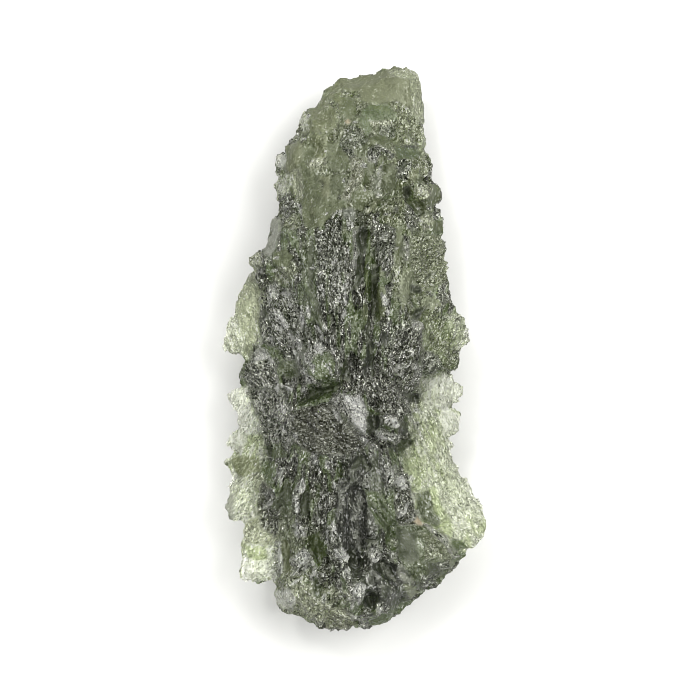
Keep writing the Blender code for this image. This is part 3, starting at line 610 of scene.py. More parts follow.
        ("dark olive", [(-9.9, -8.7), (-9.5, -8.3), (-9.3, -8.6), (-9.6, -8.9)]),
        ("left pale", [
            (-9.8, -2.9), (-8.2, -2.9), (-7.9, -4.4), (-7.6, -5.6), (-9.0, -6.0), (-9.8, -4.4)]),
        ("left thin", [(-8.0, -5.4), (-7.2, -5.4), (-6.9, -6.4), (-8.4, -6.3)]),
        ("left pale", [(-9.7, -6.4), (-8.6, -6.1), (-8.3, -6.9), (-8.5, -7.8), (-9.3, -7.8)]),
        ("left thin green", [(-8.3, -6.5), (-7.2, -6.5), (-7.0, -7.3), (-8.0, -7.2)]),
        ("right pale", [
            (-9.4, -9.8), (-8.2, -9.6), (-7.4, -10.1), (-7.0, -11.2), (-6.9, -12.3), (-7.4, -13.3),
            (-8.0, -12.9), (-9.3, -12.9), (-9.7, -11.8)]),
        ("milky", [(-9.6, -11.0), (-9.15, -10.9), (-9.05, -12.6), (-9.4, -12.9), (-9.8, -12.0)]),
        ("speckled pale", [
            (-8.0, -9.4), (-7.1, -9.4), (-6.3, -10.5), (-6.2, -11.5), (-6.5, -12.6), (-7.4, -12.4),
            (-7.4, -11.0)]),
        ("speckled pale", [
            (-8.4, -13.0), (-7.3, -12.6), (-6.0, -12.2), (-5.6, -13.0), (-5.7, -14.8), (-7.2, -14.6),
            (-8.4, -14.6)], 38),
        ("flange green", [(-8.3, -14.8), (-6.8, -14.8), (-6.4, -15.9), (-8.0, -15.8)]),
        ("left pale", [(-8.6, -15.6), (-6.6, -15.9), (-6.2, -17.0), (-8.5, -17.3)]),
        ("left thin", [(-6.8, -15.9), (-6.1, -15.2), (-5.8, -15.6), (-6.6, -16.3)], 45),
        ("flange green", [
            (4.6, -10.8), (6.0, -10.2), (6.3, -11.5), (7.2, -13.0), (7.3, -14.2), (6.0, -13.4),
            (5.0, -12.9), (5.0, -12.3), (4.5, -11.8)]),
        ("inner green", [
            (4.6, -10.8), (5.5, -10.5), (5.8, -11.5), (5.9, -12.1), (6.4, -12.7), (6.0, -13.2),
            (5.1, -12.8), (4.7, -11.9)]),
        ("flange green", [
            (3.5, -8.2), (4.6, -8.0), (4.9, -9.2), (4.9, -10.6), (4.2, -10.6), (4.4, -9.6), (3.6, -9.2)]),
        ("light vivid", [(7.2, -14.0), (8.0, -14.3), (8.4, -14.8), (7.7, -15.1), (7.2, -14.6)]),
        ("left pale", [
            (5.2, -2.2), (6.9, -2.0), (8.1, -3.0), (7.0, -4.4), (7.9, -5.0), (7.8, -6.2), (6.6, -6.4),
            (6.4, -4.6), (5.2, -4.0)]),
        ("right thin", [
            (6.9, -8.5), (8.1, -9.4), (8.9, -11.2), (9.7, -12.5), (9.2, -13.5), (8.0, -12.0), (7.4, -10.5),
            (7.0, -9.5)]),
        ("palest olive", [
            (-8.3, 6.8), (-7.2, 4.8), (-7.2, 3.0), (-7.4, 1.0), (-8.0, -0.5), (-9.3, 0.2), (-9.0, 2.2),
            (-8.6, 4.6)]),
        ("right pale", [(-10.3, 0.2), (-8.6, -0.6), (-8.2, 0.5), (-9.0, 2.6), (-9.6, 2.6)]),
        ("palest olive", [(-9.2, 3.0), (-8.6, 2.6), (-8.2, 4.4), (-8.6, 4.8)]),
        ("speckled pale", [(-8.3, 7.1), (-7.1, 7.3), (-7.0, 6.2), (-7.8, 5.6)]),
        ("palest olive", [(-4.9, 13.4), (-4.1, 13.5), (-3.9, 12.4), (-4.0, 11.2), (-4.5, 11.4)]),
        # the upper side's left
        ("scaly", [
            (-7.2, 4.4), (-6.0, 5.0), (-4.6, 3.6), (-3.8, 1.2), (-2.3, 0.0), (-3.5, -2.5), (-4.3, -1.4),
            (-5.4, -0.2), (-7.1, 0.6)], -60),
        ("pale", [
            (-4.8, 1.1), (-4.1, 0.9), (-3.9, 0.0), (-3.2, -0.7), (-3.6, -1.0), (-4.2, -0.4),
            (-4.6, 0.3)], -55),
        ("dark", [(-7.1, 3.1), (-6.7, 3.1), (-6.4, 2.4), (-6.8, 2.2), (-7.1, 2.6)]),
        ("green", [(-6.9, 0.0), (-6.0, 0.3), (-5.6, -0.5), (-6.3, -0.7)]),
        ("dark green", [(-5.7, -1.0), (-4.6, -0.8), (-4.2, -1.9), (-5.0, -2.2), (-5.6, -1.8)], -50),
        ("green", [
            (-3.2, -0.7), (-2.6, -0.1), (-1.9, -0.2), (-1.4, -1.0), (-1.5, -1.9), (-1.5, -2.7),
            (-2.4, -2.7), (-3.3, -2.5), (-3.6, -1.9), (-3.4, -1.2)], -60),
        ("pale", [(-3.7, -1.9), (-3.3, -2.0), (-2.7, -2.6), (-3.2, -2.6), (-3.8, -2.3)], -60),
        ("green", [
            (-4.4, -4.1), (-3.6, -3.7), (-3.3, -3.1), (-2.6, -2.8), (-1.5, -2.6), (-1.3, -2.9),
            (-1.7, -3.3), (-2.1, -3.9), (-3.2, -4.0), (-4.0, -4.3)]),
        ("brown", [
            (-4.8, -4.9), (-4.0, -4.3), (-2.0, -4.0), (-1.5, -4.6), (-0.6, -5.6), (0.3, -6.4), (0.9, -6.9),
            (0.7, -7.6), (-0.5, -7.8), (-1.5, -7.9), (-3.0, -7.8), (-4.4, -7.0), (-4.9, -6.0)], -30),
        ("grey", [(-0.9, -5.0), (0.4, -6.3), (1.4, -6.0), (3.4, -7.1), (2.0, -7.7), (0.6, -7.0)], -42),
        ("pale", [
            (-1.9, -3.9), (-1.5, -3.2), (-0.9, -3.2), (-0.4, -4.0), (0.0, -5.9), (-0.5, -5.2),
            (-1.0, -4.6)], -50),
        ("white", [
            (-0.9, -3.3), (-0.1, -3.55), (0.3, -3.4), (0.6, -3.7), (0.85, -4.3), (1.0, -4.8), (0.8, -5.1),
            (0.8, -6.1), (0.6, -6.3), (0.1, -5.8), (-0.2, -5.2), (-0.5, -4.5)], -50),
        ("scaly", [
            (-7.6, -0.4), (-7.1, 0.0), (-6.9, -0.5), (-6.2, -0.8), (-5.9, -1.4), (-5.7, -2.7),
            (-6.3, -3.0), (-8.0, -2.9), (-8.6, -2.1), (-8.4, -1.4), (-7.9, -0.9)], -45),
        ("white", [(-7.6, -0.4), (-7.1, -0.1), (-6.6, -0.8), (-7.5, -0.9)], -45),
        ("scaly", [
            (-8.0, -3.0), (-5.7, -3.0), (-4.8, -4.5), (-4.9, -7.0), (-6.6, -8.1), (-7.1, -6.0)], 60),
        ("dark green", [(-6.4, -7.1), (-5.6, -7.1), (-5.4, -8.0), (-6.3, -8.1)]),
        ("dark", [(-6.75, -7.2), (-6.4, -7.4), (-6.4, -8.0), (-6.7, -7.8)]),
        # to the right of the middle
        ("grey", [(2.9, 1.2), (5.0, 2.0), (5.0, -2.0), (4.0, -3.9), (2.6, -1.0)], 52),
        ("pale", [(4.1, 2.2), (4.9, 2.0), (4.9, 1.2), (4.4, 1.3)], 60),
        ("pale", [(4.15, -1.2), (4.6, -1.1), (4.7, -1.9), (4.3, -1.5)], 50),
        ("pale", [(3.0, -1.1), (3.6, -1.3), (3.5, -2.0), (3.0, -1.9)], -60),
        ("dark", [(1.9, 1.3), (2.4, 1.2), (2.5, 0.5), (2.1, 0.1), (1.9, 0.6)]),
        ("dark", [(4.1, 4.8), (4.9, 4.7), (4.9, 4.1), (4.3, 4.2)]),
        ("dark", [(4.2, 2.2), (4.5, 2.9), (5.1, 3.0), (4.9, 2.5), (4.4, 2.0)]),
        ("pale grey", [(5.1, -0.2), (5.9, -0.3), (6.3, -1.2), (5.9, -1.8), (5.1, -1.9), (4.9, -1.0)], 30),
        ("grey", [
            (0.8, -1.2), (2.2, -1.6), (3.4, -3.4), (4.0, -4.5), (3.4, -5.5), (2.0, -4.8), (1.0, -4.2),
            (0.8, -3.0)], -58),
        ("dark", [(3.9, -3.3), (4.9, -3.3), (4.8, -3.9), (4.0, -4.0)]),
        ("dark", [(1.0, -4.9), (1.9, -4.9), (2.0, -5.7), (1.1, -6.3), (0.85, -5.6)]),
        ("pale", [(2.0, -4.8), (2.9, -4.9), (3.3, -5.4), (3.2, -5.9), (2.5, -5.8), (2.0, -5.5)], 40),
        ("white", [(2.6, -5.2), (3.0, -5.1), (3.2, -5.6), (2.9, -5.8)], 40),
        ("pale", [(1.4, -6.05), (2.0, -6.1), (3.4, -6.5), (3.3, -7.0), (2.9, -7.1), (2.1, -6.7)], -30),
        ("dark", [(3.3, -5.6), (3.9, -5.5), (4.0, -6.2), (3.5, -6.5)]),
        ("dark green", [(3.4, -7.0), (4.4, -6.8), (4.2, -7.1), (3.5, -7.8), (3.0, -7.8)]),
        # the foot
        ("dark grey", [
            (-1.2, -9.6), (0.6, -10.4), (1.2, -12.0), (1.6, -13.4), (0.9, -14.6), (-0.9, -15.0),
            (-1.2, -13.4), (-1.5, -11.4)]),
        ("grey", [(3.0, -9.3), (3.9, -9.3), (4.6, -12.8), (3.1, -13.0), (2.9, -11.0)], 62),
        ("pale", [(2.3, -8.9), (2.95, -9.0), (2.9, -10.1), (2.3, -10.2)], 70),
        ("white", [(3.2, -9.6), (3.7, -9.6), (3.8, -10.1), (3.3, -10.3), (3.0, -9.9)], 70),
        ("white", [(3.2, -12.4), (3.35, -11.9), (3.45, -12.0), (3.4, -12.5)], 62),
        ("white", [(3.5, -12.4), (3.8, -11.5), (3.98, -11.4), (3.75, -12.1)], 62),
        ("green", [
            (0.6, -10.4), (1.6, -10.6), (2.6, -12.0), (3.2, -13.0), (3.1, -14.1), (2.5, -14.1),
            (1.6, -12.8), (1.0, -11.6)], -56),
        ("dark green", [
            (3.0, -13.2), (4.5, -13.1), (5.1, -13.2), (5.9, -13.6), (6.8, -14.3), (7.6, -15.7),
            (7.0, -16.4), (6.1, -17.0), (5.2, -17.4), (4.4, -17.3), (3.4, -15.8), (3.1, -14.8)], -50),
        ("grey green", [
            (4.6, -13.5), (5.9, -13.8), (7.0, -15.0), (7.3, -16.0), (6.0, -15.6), (5.0, -15.8),
            (5.2, -14.6)], -50),
        ("deep green", [
            (3.1, -13.4), (4.4, -13.7), (4.5, -14.6), (4.7, -15.6), (4.0, -15.9), (3.3, -15.4)], -50),
        ("deep green", [(5.4, -15.9), (6.2, -15.9), (6.6, -16.6), (5.6, -16.7)], -50),
        ("pale grey", [(6.0, -15.9), (7.0, -15.8), (7.1, -16.2), (6.4, -16.6)], 10),
        ("pale grey", [(5.0, -16.9), (6.3, -16.7), (5.8, -17.6), (4.9, -17.9)], -40),
        ("milky", [(3.1, -16.1), (3.4, -15.9), (4.3, -17.3), (3.6, -17.4), (3.1, -16.9)]),
        ("pale green", [(3.6, -17.5), (4.1, -17.4), (4.8, -18.3), (4.3, -18.7), (3.9, -18.3)]),
        ("pale", [
            (5.0, -13.0), (5.9, -13.4), (6.8, -14.1), (7.6, -15.3), (7.9, -15.6), (7.4, -15.6),
            (6.6, -14.5), (5.7, -13.75)], -40),
        ("dark grey", [
            (2.1, -15.9), (3.1, -15.9), (3.1, -16.6), (3.6, -17.3), (3.2, -17.8), (2.4, -17.3),
            (2.2, -16.6)]),
        ("pale", [(1.0, -14.8), (1.6, -14.8), (2.0, -15.5), (1.6, -15.9), (1.1, -15.4)], 30),
        ("pale grey", [(2.5, -15.0), (3.0, -15.0), (3.0, -15.5), (2.6, -15.7)], 60),
        ("dark grey", [(1.0, -15.9), (1.9, -16.1), (1.9, -16.8), (1.2, -16.9)]),
        ("dark", [(3.0, -18.4), (3.6, -18.8), (3.2, -19.2), (2.7, -18.8)]),
        ("dark", [(0.6, -18.4), (1.5, -18.6), (1.2, -19.3), (0.65, -19.2)]),
        ("white", [
            (0.0, -17.4), (0.6, -17.4), (0.6, -18.0), (0.4, -19.0), (0.0, -18.9), (-0.2, -18.2)], 80),
        ("pale", [(1.6, -18.9), (2.1, -18.8), (2.0, -19.8), (1.6, -19.7)], 70),
        ("pale grey", [
            (-2.2, -13.2), (-1.6, -13.0), (-1.2, -14.0), (-0.9, -15.0), (-0.5, -16.3), (-0.4, -17.0),
            (-1.2, -16.8), (-2.0, -15.5), (-2.3, -14.2)]),
        ("dark grey", [(-0.7, -15.1), (0.3, -14.8), (0.4, -16.2), (-0.3, -16.5), (-0.6, -15.9)]),
        ("grey", [
            (-7.2, -9.8), (-6.2, -10.5), (-5.6, -12.2), (-5.9, -14.2), (-7.2, -13.4), (-7.4, -11.5)], 45),
        ("white", [(-7.0, -11.9), (-6.3, -11.3), (-6.2, -11.4), (-6.7, -12.0)], 48),
        ("dark green", [
            (-5.4, -9.9), (-4.7, -9.9), (-4.8, -11.0), (-5.2, -11.6), (-6.2, -12.0), (-6.3, -11.5),
            (-5.7, -11.0)]),
        ("deep green", [
            (-3.9, -10.6), (-3.2, -10.6), (-3.3, -11.6), (-3.7, -12.5), (-4.3, -12.1), (-4.1, -11.2)]),
        ("dark green", [(-2.95, -10.0), (-2.6, -10.0), (-2.6, -11.0), (-3.0, -11.6)]),
        ("pale grey", [
            (-4.7, -10.6), (-4.3, -10.2), (-3.9, -9.6), (-3.7, -10.2), (-4.2, -11.2), (-4.2, -12.2),
            (-4.6, -12.2), (-4.6, -11.4)]),
        ("pale", [(-4.6, -13.0), (-4.1, -12.8), (-3.6, -13.9), (-4.4, -14.0), (-4.7, -13.4)], 70),
        ("bright green", [
            (-3.5, -14.0), (-2.7, -13.5), (-2.4, -14.5), (-2.2, -15.3), (-2.6, -15.6), (-3.2, -15.0)]),
        ("light olive", [
            (-5.55, -14.3), (-5.0, -14.3), (-4.9, -15.4), (-4.6, -16.4), (-5.0, -16.9), (-5.5, -16.3)]),
        ("pale", [
            (-6.0, -14.3), (-5.55, -14.4), (-5.5, -15.7), (-5.4, -16.5), (-5.7, -17.0), (-6.0, -16.5)]),
        ("pale", [
            (-4.8, -15.6), (-4.0, -14.8), (-3.3, -15.0), (-3.2, -15.6), (-4.2, -16.9), (-4.6, -16.6)], 56),
        ("pale", [(-3.4, -17.0), (-2.9, -15.9), (-2.8, -16.6), (-3.2, -17.4)], 65),
        ("dark green", [(-3.3, -17.9), (-2.9, -17.4), (-2.4, -17.7), (-2.6, -18.5), (-3.1, -18.6)]),
        ("grey band", [
            (-2.4, -19.4), (-1.0, -19.3), (-0.3, -20.0), (0.1, -20.6), (-1.0, -20.9), (-2.2, -20.9)], -30),
        ("speckled pale", [
            (-4.5, -17.6), (-3.6, -17.5), (-3.2, -18.7), (-2.4, -18.8), (-1.9, -19.3), (-2.6, -20.2),
            (-4.2, -20.0), (-4.7, -19.0)]),
        ("left pale", [
            (-6.1, -18.2), (-4.9, -17.9), (-4.4, -18.6), (-4.6, -19.2), (-5.3, -19.5), (-6.1, -19.0)]),
        ("tan", [(4.35, -12.95), (4.75, -12.5), (5.1, -13.05), (4.9, -13.15)]),
        ("tan", [(-0.8, 16.9), (-0.6, 17.2), (-0.35, 17.0), (-0.55, 16.75)]),
    ],
    # white strokes where the ridges catch the light, each a line and half its width
    "strokes": [
        ([(-6.35, 4.6), (-6.05, 3.75)], 0.28), ([(-5.5, 4.35), (-5.1, 3.95)], 0.2),
        ([(-5.0, 3.35), (-4.75, 3.1)], 0.12), ([(-6.8, 4.0), (-6.5, 3.4)], 0.09),
        ([(-6.4, 2.6), (-6.3, 2.15)], 0.16), ([(-5.95, 2.75), (-5.55, 2.35), (-5.1, 1.65)], 0.24),
        ([(-5.8, 1.7), (-5.5, 1.25)], 0.17), ([(-6.45, 1.05), (-6.15, 0.4)], 0.13),
        ([(-5.95, 0.95), (-5.45, 0.4)], 0.13), ([(-4.85, 1.45), (-4.65, 0.6)], 0.15),
        ([(-4.45, 0.75), (-3.95, 0.1)], 0.2), ([(-4.6, -0.05), (-4.25, -0.95)], 0.15),
        ([(-4.0, -0.3), (-3.55, -1.0)], 0.24), ([(-4.05, 2.8), (-3.9, 1.6)], 0.15),
        ([(-3.5, 3.25), (-3.42, 2.3)], 0.1), ([(-2.85, 1.8), (-2.75, 1.2)], 0.09),
        ([(-2.65, 0.95), (-2.5, 0.5)], 0.1), ([(-2.9, 0.35), (-2.5, -0.3)], 0.25),
        ([(-3.3, -1.0), (-3.05, -1.8)], 0.12), ([(-3.75, -2.05), (-3.3, -2.5)], 0.14),
        ([(-2.2, -1.1), (-1.6, -2.1)], 0.08), ([(-1.1, -1.05), (-0.95, -1.3)], 0.11),
        ([(-1.25, -1.5), (-1.15, -1.9)], 0.11), ([(-7.15, 0.85), (-7.2, 0.1)], 0.11),
        ([(-7.5, -0.3), (-7.0, -0.1), (-6.1, -1.1)], 0.2), ([(-2.45, 4.7), (-2.3, 4.1)], 0.1),
        ([(-2.35, 1.75), (-2.25, 1.45)], 0.1), ([(-1.7, 0.0), (-1.55, -0.05)], 0.13),
        ([(-0.85, 4.8), (-0.75, 4.05)], 0.09), ([(-0.8, 3.9), (-0.65, 3.3)], 0.1),
        ([(-0.8, 2.9), (-0.7, 2.4)], 0.12), ([(1.95, 4.1), (2.3, 3.2)], 0.14),
        ([(2.2, 2.8), (2.5, 2.6)], 0.13), ([(1.4, 0.6), (1.85, 0.1)], 0.1),
        ([(-5.9, -2.5), (-5.8, -3.2)], 0.1), ([(-5.6, -2.6), (-4.8, -2.9)], 0.2),
        ([(-3.9, -2.95), (-3.7, -3.25)], 0.11), ([(-5.4, -4.2), (-5.3, -4.8)], 0.11),
        ([(-4.75, -4.9), (-4.65, -5.2)], 0.11), ([(-5.4, -5.8), (-5.3, -6.3)], 0.12),
        ([(-4.6, -6.3), (-4.4, -6.7)], 0.12), ([(-3.3, -7.8), (-2.9, -8.5)], 0.15),
        ([(-2.15, -8.3), (-2.0, -8.9)], 0.15), ([(-1.6, -4.5), (-1.0, -5.4)], 0.11),
        ([(1.55, -6.15), (2.1, -6.6), (2.9, -6.8)], 0.13), ([(0.1, -7.35), (0.4, -7.6)], 0.09),
        ([(0.45, -6.55), (1.0, -7.0)], 0.09), ([(-5.6, -8.9), (-5.5, -10.2)], 0.15),
        ([(-3.95, -9.5), (-3.95, -10.6)], 0.2), ([(-1.6, -9.9), (-1.5, -10.3)], 0.12),
        ([(2.1, -5.0), (2.5, -5.2)], 0.11), ([(2.8, -5.3), (3.15, -5.8)], 0.18),
        ([(3.2, -9.6), (3.6, -9.9)], 0.2), ([(3.5, -10.3), (3.95, -10.1)], 0.12),
        ([(4.1, -9.9), (4.25, -9.4)], 0.09), ([(4.4, -4.6), (5.2, -4.8)], 0.12),
        ([(4.4, -5.4), (4.9, -5.8)], 0.1), ([(1.6, -8.9), (1.9, -9.1)], 0.1),
        ([(-6.5, -11.8), (-6.25, -11.4)], 0.09), ([(-4.35, -11.0), (-4.35, -12.2)], 0.13),
        ([(-4.5, -12.9), (-4.45, -13.8)], 0.15), ([(-4.15, -12.9), (-3.75, -13.9)], 0.14),
        ([(-2.75, -11.6), (-2.55, -11.8)], 0.11), ([(-2.85, -12.0), (-2.65, -12.9)], 0.09),
        ([(-1.75, -12.7), (-1.5, -13.5)], 0.15), ([(-2.2, -13.4), (-2.15, -14.3)], 0.13),
        ([(-4.6, -15.7), (-4.2, -15.1)], 0.13), ([(-4.1, -16.0), (-3.5, -15.1)], 0.25),
        ([(-5.75, -14.5), (-5.6, -15.8), (-5.55, -16.7)], 0.13), ([(-4.7, -16.9), (-4.2, -16.2)], 0.1),
        ([(-3.9, -16.6), (-3.55, -16.1)], 0.1), ([(-3.25, -16.1), (-3.05, -15.75)], 0.09),
        ([(-3.35, -17.0), (-2.95, -16.2)], 0.09), ([(-4.8, -17.6), (-4.2, -17.1)], 0.11),
        ([(-1.5, -14.8), (-1.2, -15.9)], 0.16), ([(-0.95, -14.8), (-0.65, -15.6)], 0.16),
        ([(-0.75, -16.0), (-0.45, -17.0)], 0.13), ([(0.1, -17.6), (0.55, -17.6), (0.3, -18.6)], 0.2),
        ([(-0.2, -18.9), (-0.3, -19.3)], 0.13), ([(1.2, -14.8), (1.4, -14.9)], 0.13),
        ([(1.3, -15.5), (1.6, -15.7)], 0.16), ([(1.7, -19.0), (1.85, -19.6)], 0.14),
        ([(0.9, -16.7), (0.95, -17.2)], 0.11), ([(-2.3, -18.2), (-2.4, -18.9)], 0.11),
        ([(-4.8, -18.7), (-4.9, -19.2)], 0.13),
    ],
    # painted glints, white spots in the skin's colour, each a middle and a radius
    "glints": [
        ((-0.9, 12.5), 0.12), ((-0.2, 9.15), 0.12), ((0.65, 13.6), 0.14), ((2.25, 10.05), 0.12),
        ((-1.6, 6.5), 0.12), ((-3.15, 6.05), 0.16), ((-2.65, 7.35), 0.14), ((-2.55, 6.25), 0.1),
        ((-5.9, 6.8), 0.14), ((-2.15, 10.05), 0.1), ((3.95, 9.15), 0.14), ((3.2, 7.5), 0.1),
        ((2.7, 7.1), 0.1), ((0.85, 6.1), 0.12), ((1.8, 13.45), 0.12), ((0.7, 11.75), 0.12),
        ((4.75, 10.45), 0.1), ((-6.1, 5.7), 0.12), ((-5.3, 6.05), 0.1), ((0.45, -15.45), 0.13),
        ((1.55, -11.85), 0.1), ((0.0, 16.9), 0.1), ((-3.9, 15.8), 0.12), ((-3.55, 17.5), 0.14),
        ((2.8, 14.35), 0.12), ((-0.45, -3.6), 0.14), ((-2.1, -8.7), 0.12), ((4.3, -12.65), 0.12),
    ],
    # the middle, half the length and width, the turn of the length, the tint
    "patches": [
        # broad zones
        ((0.4, 16.0), 6.5, 5.6, 80, "top green"),
        ((-4.4, 12.6), 2.6, 1.6, 80, "top green"),
        ((4.3, 6.6), 3.6, 2.0, 95, "yellow green"),
        ((5.6, 1.0), 3.0, 1.6, 120, "yellow green"),
        ((-5.2, 2.0), 3.2, 1.7, 120, "pale grey"),
        ((-7.2, -1.6), 1.5, 1.0, 100, "pale grey"),
        ((-5.5, -5.6), 2.6, 1.6, 100, "grey"),
        ((-2.6, -6.0), 2.4, 1.8, 0, "brown"),
        ((0.4, -14.2), 4.6, 1.9, 100, "dark grey"),
        ((1.2, -9.3), 2.4, 1.6, 0, "dark grey"),
        ((2.6, -17.8), 2.4, 1.4, 30, "dark grey"),
        ((-5.4, -15.4), 3.6, 2.2, 95, "speckled olive"),
        ((-3.4, -18.9), 2.9, 1.6, 0, "speckled pale"),
        ((5.2, -15.2), 2.6, 1.6, -40, "grey green"),
        ((3.2, 0.6), 1.8, 1.0, 60, "pale grey"),
        # smooth places, from the top down
        ((-3.3, 6.0), 2.6, 0.32, 90, "green"),
        ((-3.9, 6.5), 1.6, 0.16, 90, "dark green"),
        ((-5.3, 5.6), 1.3, 0.8, 60, "grey green"),
        ((0.85, 5.2), 1.3, 0.22, 92, "bright green"),
        ((0.65, 3.0), 1.0, 0.22, 95, "yellow green"),
        ((1.9, 4.0), 2.3, 0.4, 90, "olive"),
        ((2.0, 5.0), 0.6, 0.45, 0, "green"),
        ((4.2, 5.5), 0.8, 0.5, 0, "pale green"),
        ((3.7, 4.6), 1.2, 0.5, 80, "pale green"),
        ((5.7, 3.4), 0.7, 0.5, 0, "pale green"),
        ((5.5, 4.6), 0.5, 0.35, 0, "pale green"),
        ((-4.8, 2.6), 0.7, 0.5, 40, "dark grey"),
        ((-3.1, 2.6), 1.8, 0.25, 115, "dark green"),
        ((-6.1, -0.1), 0.6, 0.45, 30, "green"),
        ((-5.2, -1.4), 0.7, 0.6, 80, "dark green"),
        ((0.0, -1.9), 1.3, 0.9, 90, "grey"),
        # painted shade in a groove
        ((1.0, -0.6), 1.4, 0.3, 80, "dark"),
        ((5.7, -1.1), 0.9, 0.7, -50, "pale grey"),
        ((2.3, -3.2), 1.4, 0.8, 30, "grey"),
        # painted shade in a groove
        ((0.3, -8.4), 0.8, 0.6, 0, "dark"),
        ((-5.9, -7.7), 0.7, 0.55, 0, "dark green"),
        ((-5.2, -18.8), 1.1, 0.9, 0, "milky"),
        ((0.3, -20.3), 1.0, 0.2, -50, "pale"),
    ],
}


def sculptForms(stone):
    points = readPoints(stone.data) / mm
    upper = fade("sculpted side", readPoints(stone.data, "normal")[:, 2])
    ragged = noiseAt("ragged", points)
    waver = np.column_stack([noiseAt("waver x", points), noiseAt("waver y", points)])
    places = points[:, :2] + waver
    for line, width, depth in forms["grooves"]:
        points[:, 2] -= upper * depth * fade("groove wall", lineFalloff(places, line, width))
    for line, width, height in forms["ridges"]:
        crest = lineFalloff(places, line, width) ** stoneForm["ridgePower"]
        points[:, 2] += upper * height * crest
    for middle, halfLength, halfWidth, turn, *slopes in forms["facets"]:
        edge = patchDistance(places, middle, halfLength, halfWidth, turn) + ragged
        core = (edge < stoneForm["facetCore"]) & (upper > 0.5)
        level = points[core, 2].mean() if core.any() else 0.0
        slopeX, slopeY = slopes or stoneForm["facetSlopes"]
        plane = level + slopeX * (points[:, 0] - middle[0]) + slopeY * (points[:, 1] - middle[1])
        share = upper * (1 - fade("facet edge", edge))
        points[:, 2] += share * (plane - points[:, 2])
    points[:, 2] = np.maximum(points[:, 2], 0)
    writePoints(stone.data, points * mm)
    print("forms sculpted")


# the skin's tints: red, green and blue, then how much of it is glittering grain
tints = {
    # the greys are partly a painted sheen: lamp light that the surface reflects, laid into the colour
    "grey": (0.088, 0.089, 0.068, 1.1),
    "pale grey": (0.115, 0.122, 0.09, 1.5),
    "dark grey": (0.009, 0.011, 0.006, 0.45),
    "scaly": (0.17, 0.175, 0.135, 2.6),
    "brown": (0.034, 0.034, 0.012, 0.65),
    # dark: painted shade, laid into grooves, pits and hollows
    "dark": (0.01, 0.017, 0.004, 0.15),
    "deep green": (0.04, 0.058, 0.012, 0.2),
    "dark green": (0.075, 0.105, 0.025, 0.5),
    "green": (0.082, 0.128, 0.02, 0.55),
    "bright green": (0.125, 0.18, 0.03, 0.35),
    "yellow green": (0.18, 0.215, 0.085, 0.6),
    "grey green": (0.225, 0.245, 0.15, 0.7),
    "pale green": (0.3, 0.34, 0.19, 0.4),
    "dark olive": (0.105, 0.135, 0.035, 0.35),
    "olive": (0.135, 0.168, 0.05, 0.3),
    "light olive": (0.225, 0.255, 0.1, 0.4),
    "pale olive": (0.25, 0.275, 0.13, 0.25),
    "palest olive": (0.43, 0.455, 0.31, 0.5),
    "vivid green": (0.1, 0.15, 0.015, 0.2),
    "light vivid": (0.085, 0.135, 0.02, 0.35),
    "rib green": (0.095, 0.15, 0.015, 0.25),
    "speckled olive": (0.215, 0.24, 0.13, 0.75),
    "speckled dark": (0.07, 0.085, 0.035, 0.7),
    "speckled pale": (0.42, 0.44, 0.31, 0.8),
    "grey band": (0.31, 0.32, 0.22, 0.75),
    "bluish": (0.28, 0.3, 0.25, 0.45),
    "milky": (0.5, 0.52, 0.43, 0.3),
    # pale: partly the skin's own paler tone, partly a painted highlight on ridges and facets facing the
    # light
    "pale": (0.44, 0.44, 0.4, 1.9),
    # white and bright: painted highlights, on lit facets, strokes and glints
    "white": (0.88, 0.88, 0.87, 0.9),
    "bright": (0.92, 0.92, 0.9, 1.5),
    "flange green": (0.36, 0.42, 0.21, 0.5),
    "inner green": (0.07, 0.1, 0.02, 0.4),
    "right thin": (0.55, 0.57, 0.47, 0.65),
    "right thin green": (0.36, 0.4, 0.24, 0.6),
    "right pale": (0.69, 0.72, 0.58, 0.7),
    "left thin": (0.8, 0.82, 0.73, 0.65),
    "left thin green": (0.46, 0.51, 0.31, 0.7),
    "left pale": (0.96, 0.97, 0.88, 0.6),
    "top green": (0.19, 0.215, 0.095, 0.55),
    "tan": (0.78, 0.62, 0.43, 0.2),
}

# where the stone is thin: how thin from 0 to 1, its two tints, then the outline in mm from above
# the pale tints are partly the thin glass's clearer colour, partly a painted glow for light coming through
# it
thinPlaces = {
    "right flange": (1.0, "right thin", "right thin green", [
        (5.0, -2.0), (4.7, -3.0), (4.15, -4.2), (4.0, -6.0), (4.2, -6.9), (3.5, -7.9), (3.7, -9.0),
        (4.2, -10.9), (4.8, -12.3), (5.0, -13.0), (6.2, -13.6), (6.9, -14.2), (7.6, -15.1), (11, -15.5),
        (11, -2.5), (6.8, -1.9)]),
    "left flange": (1.0, "left thin", "left thin green", [
        (-8.1, -2.9), (-7.8, -4.3), (-7.1, -5.9), (-6.6, -7.9), (-7.1, -8.6), (-7.2, -10.0), (-7.3, -11.5),
        (-7.0, -12.8), (-6.2, -14.0), (-5.95, -17.4), (-11, -17.6), (-11, -2.9)]),
    "wing": (0.9, "right thin", "right thin green", [
        (-7.2, 4.8), (-7.2, 3.0), (-7.3, 1.0), (-7.6, 0.0), (-8.0, -0.7), (-11, 0), (-11, 1),
        (-8.3, 5.0)]),
    "lobe": (0.6, "right thin", "right thin green", [
        (6.9, 2.6), (7.1, 1.0), (7.5, -0.1), (9, 0), (9, 3)]),
    "top edge": (0.4, "right thin", "right thin green", [
        (2.6, 21.5), (2.8, 20.2), (4.2, 17.0), (4.6, 14.6), (6, 14.6), (6, 21.5)]),
}

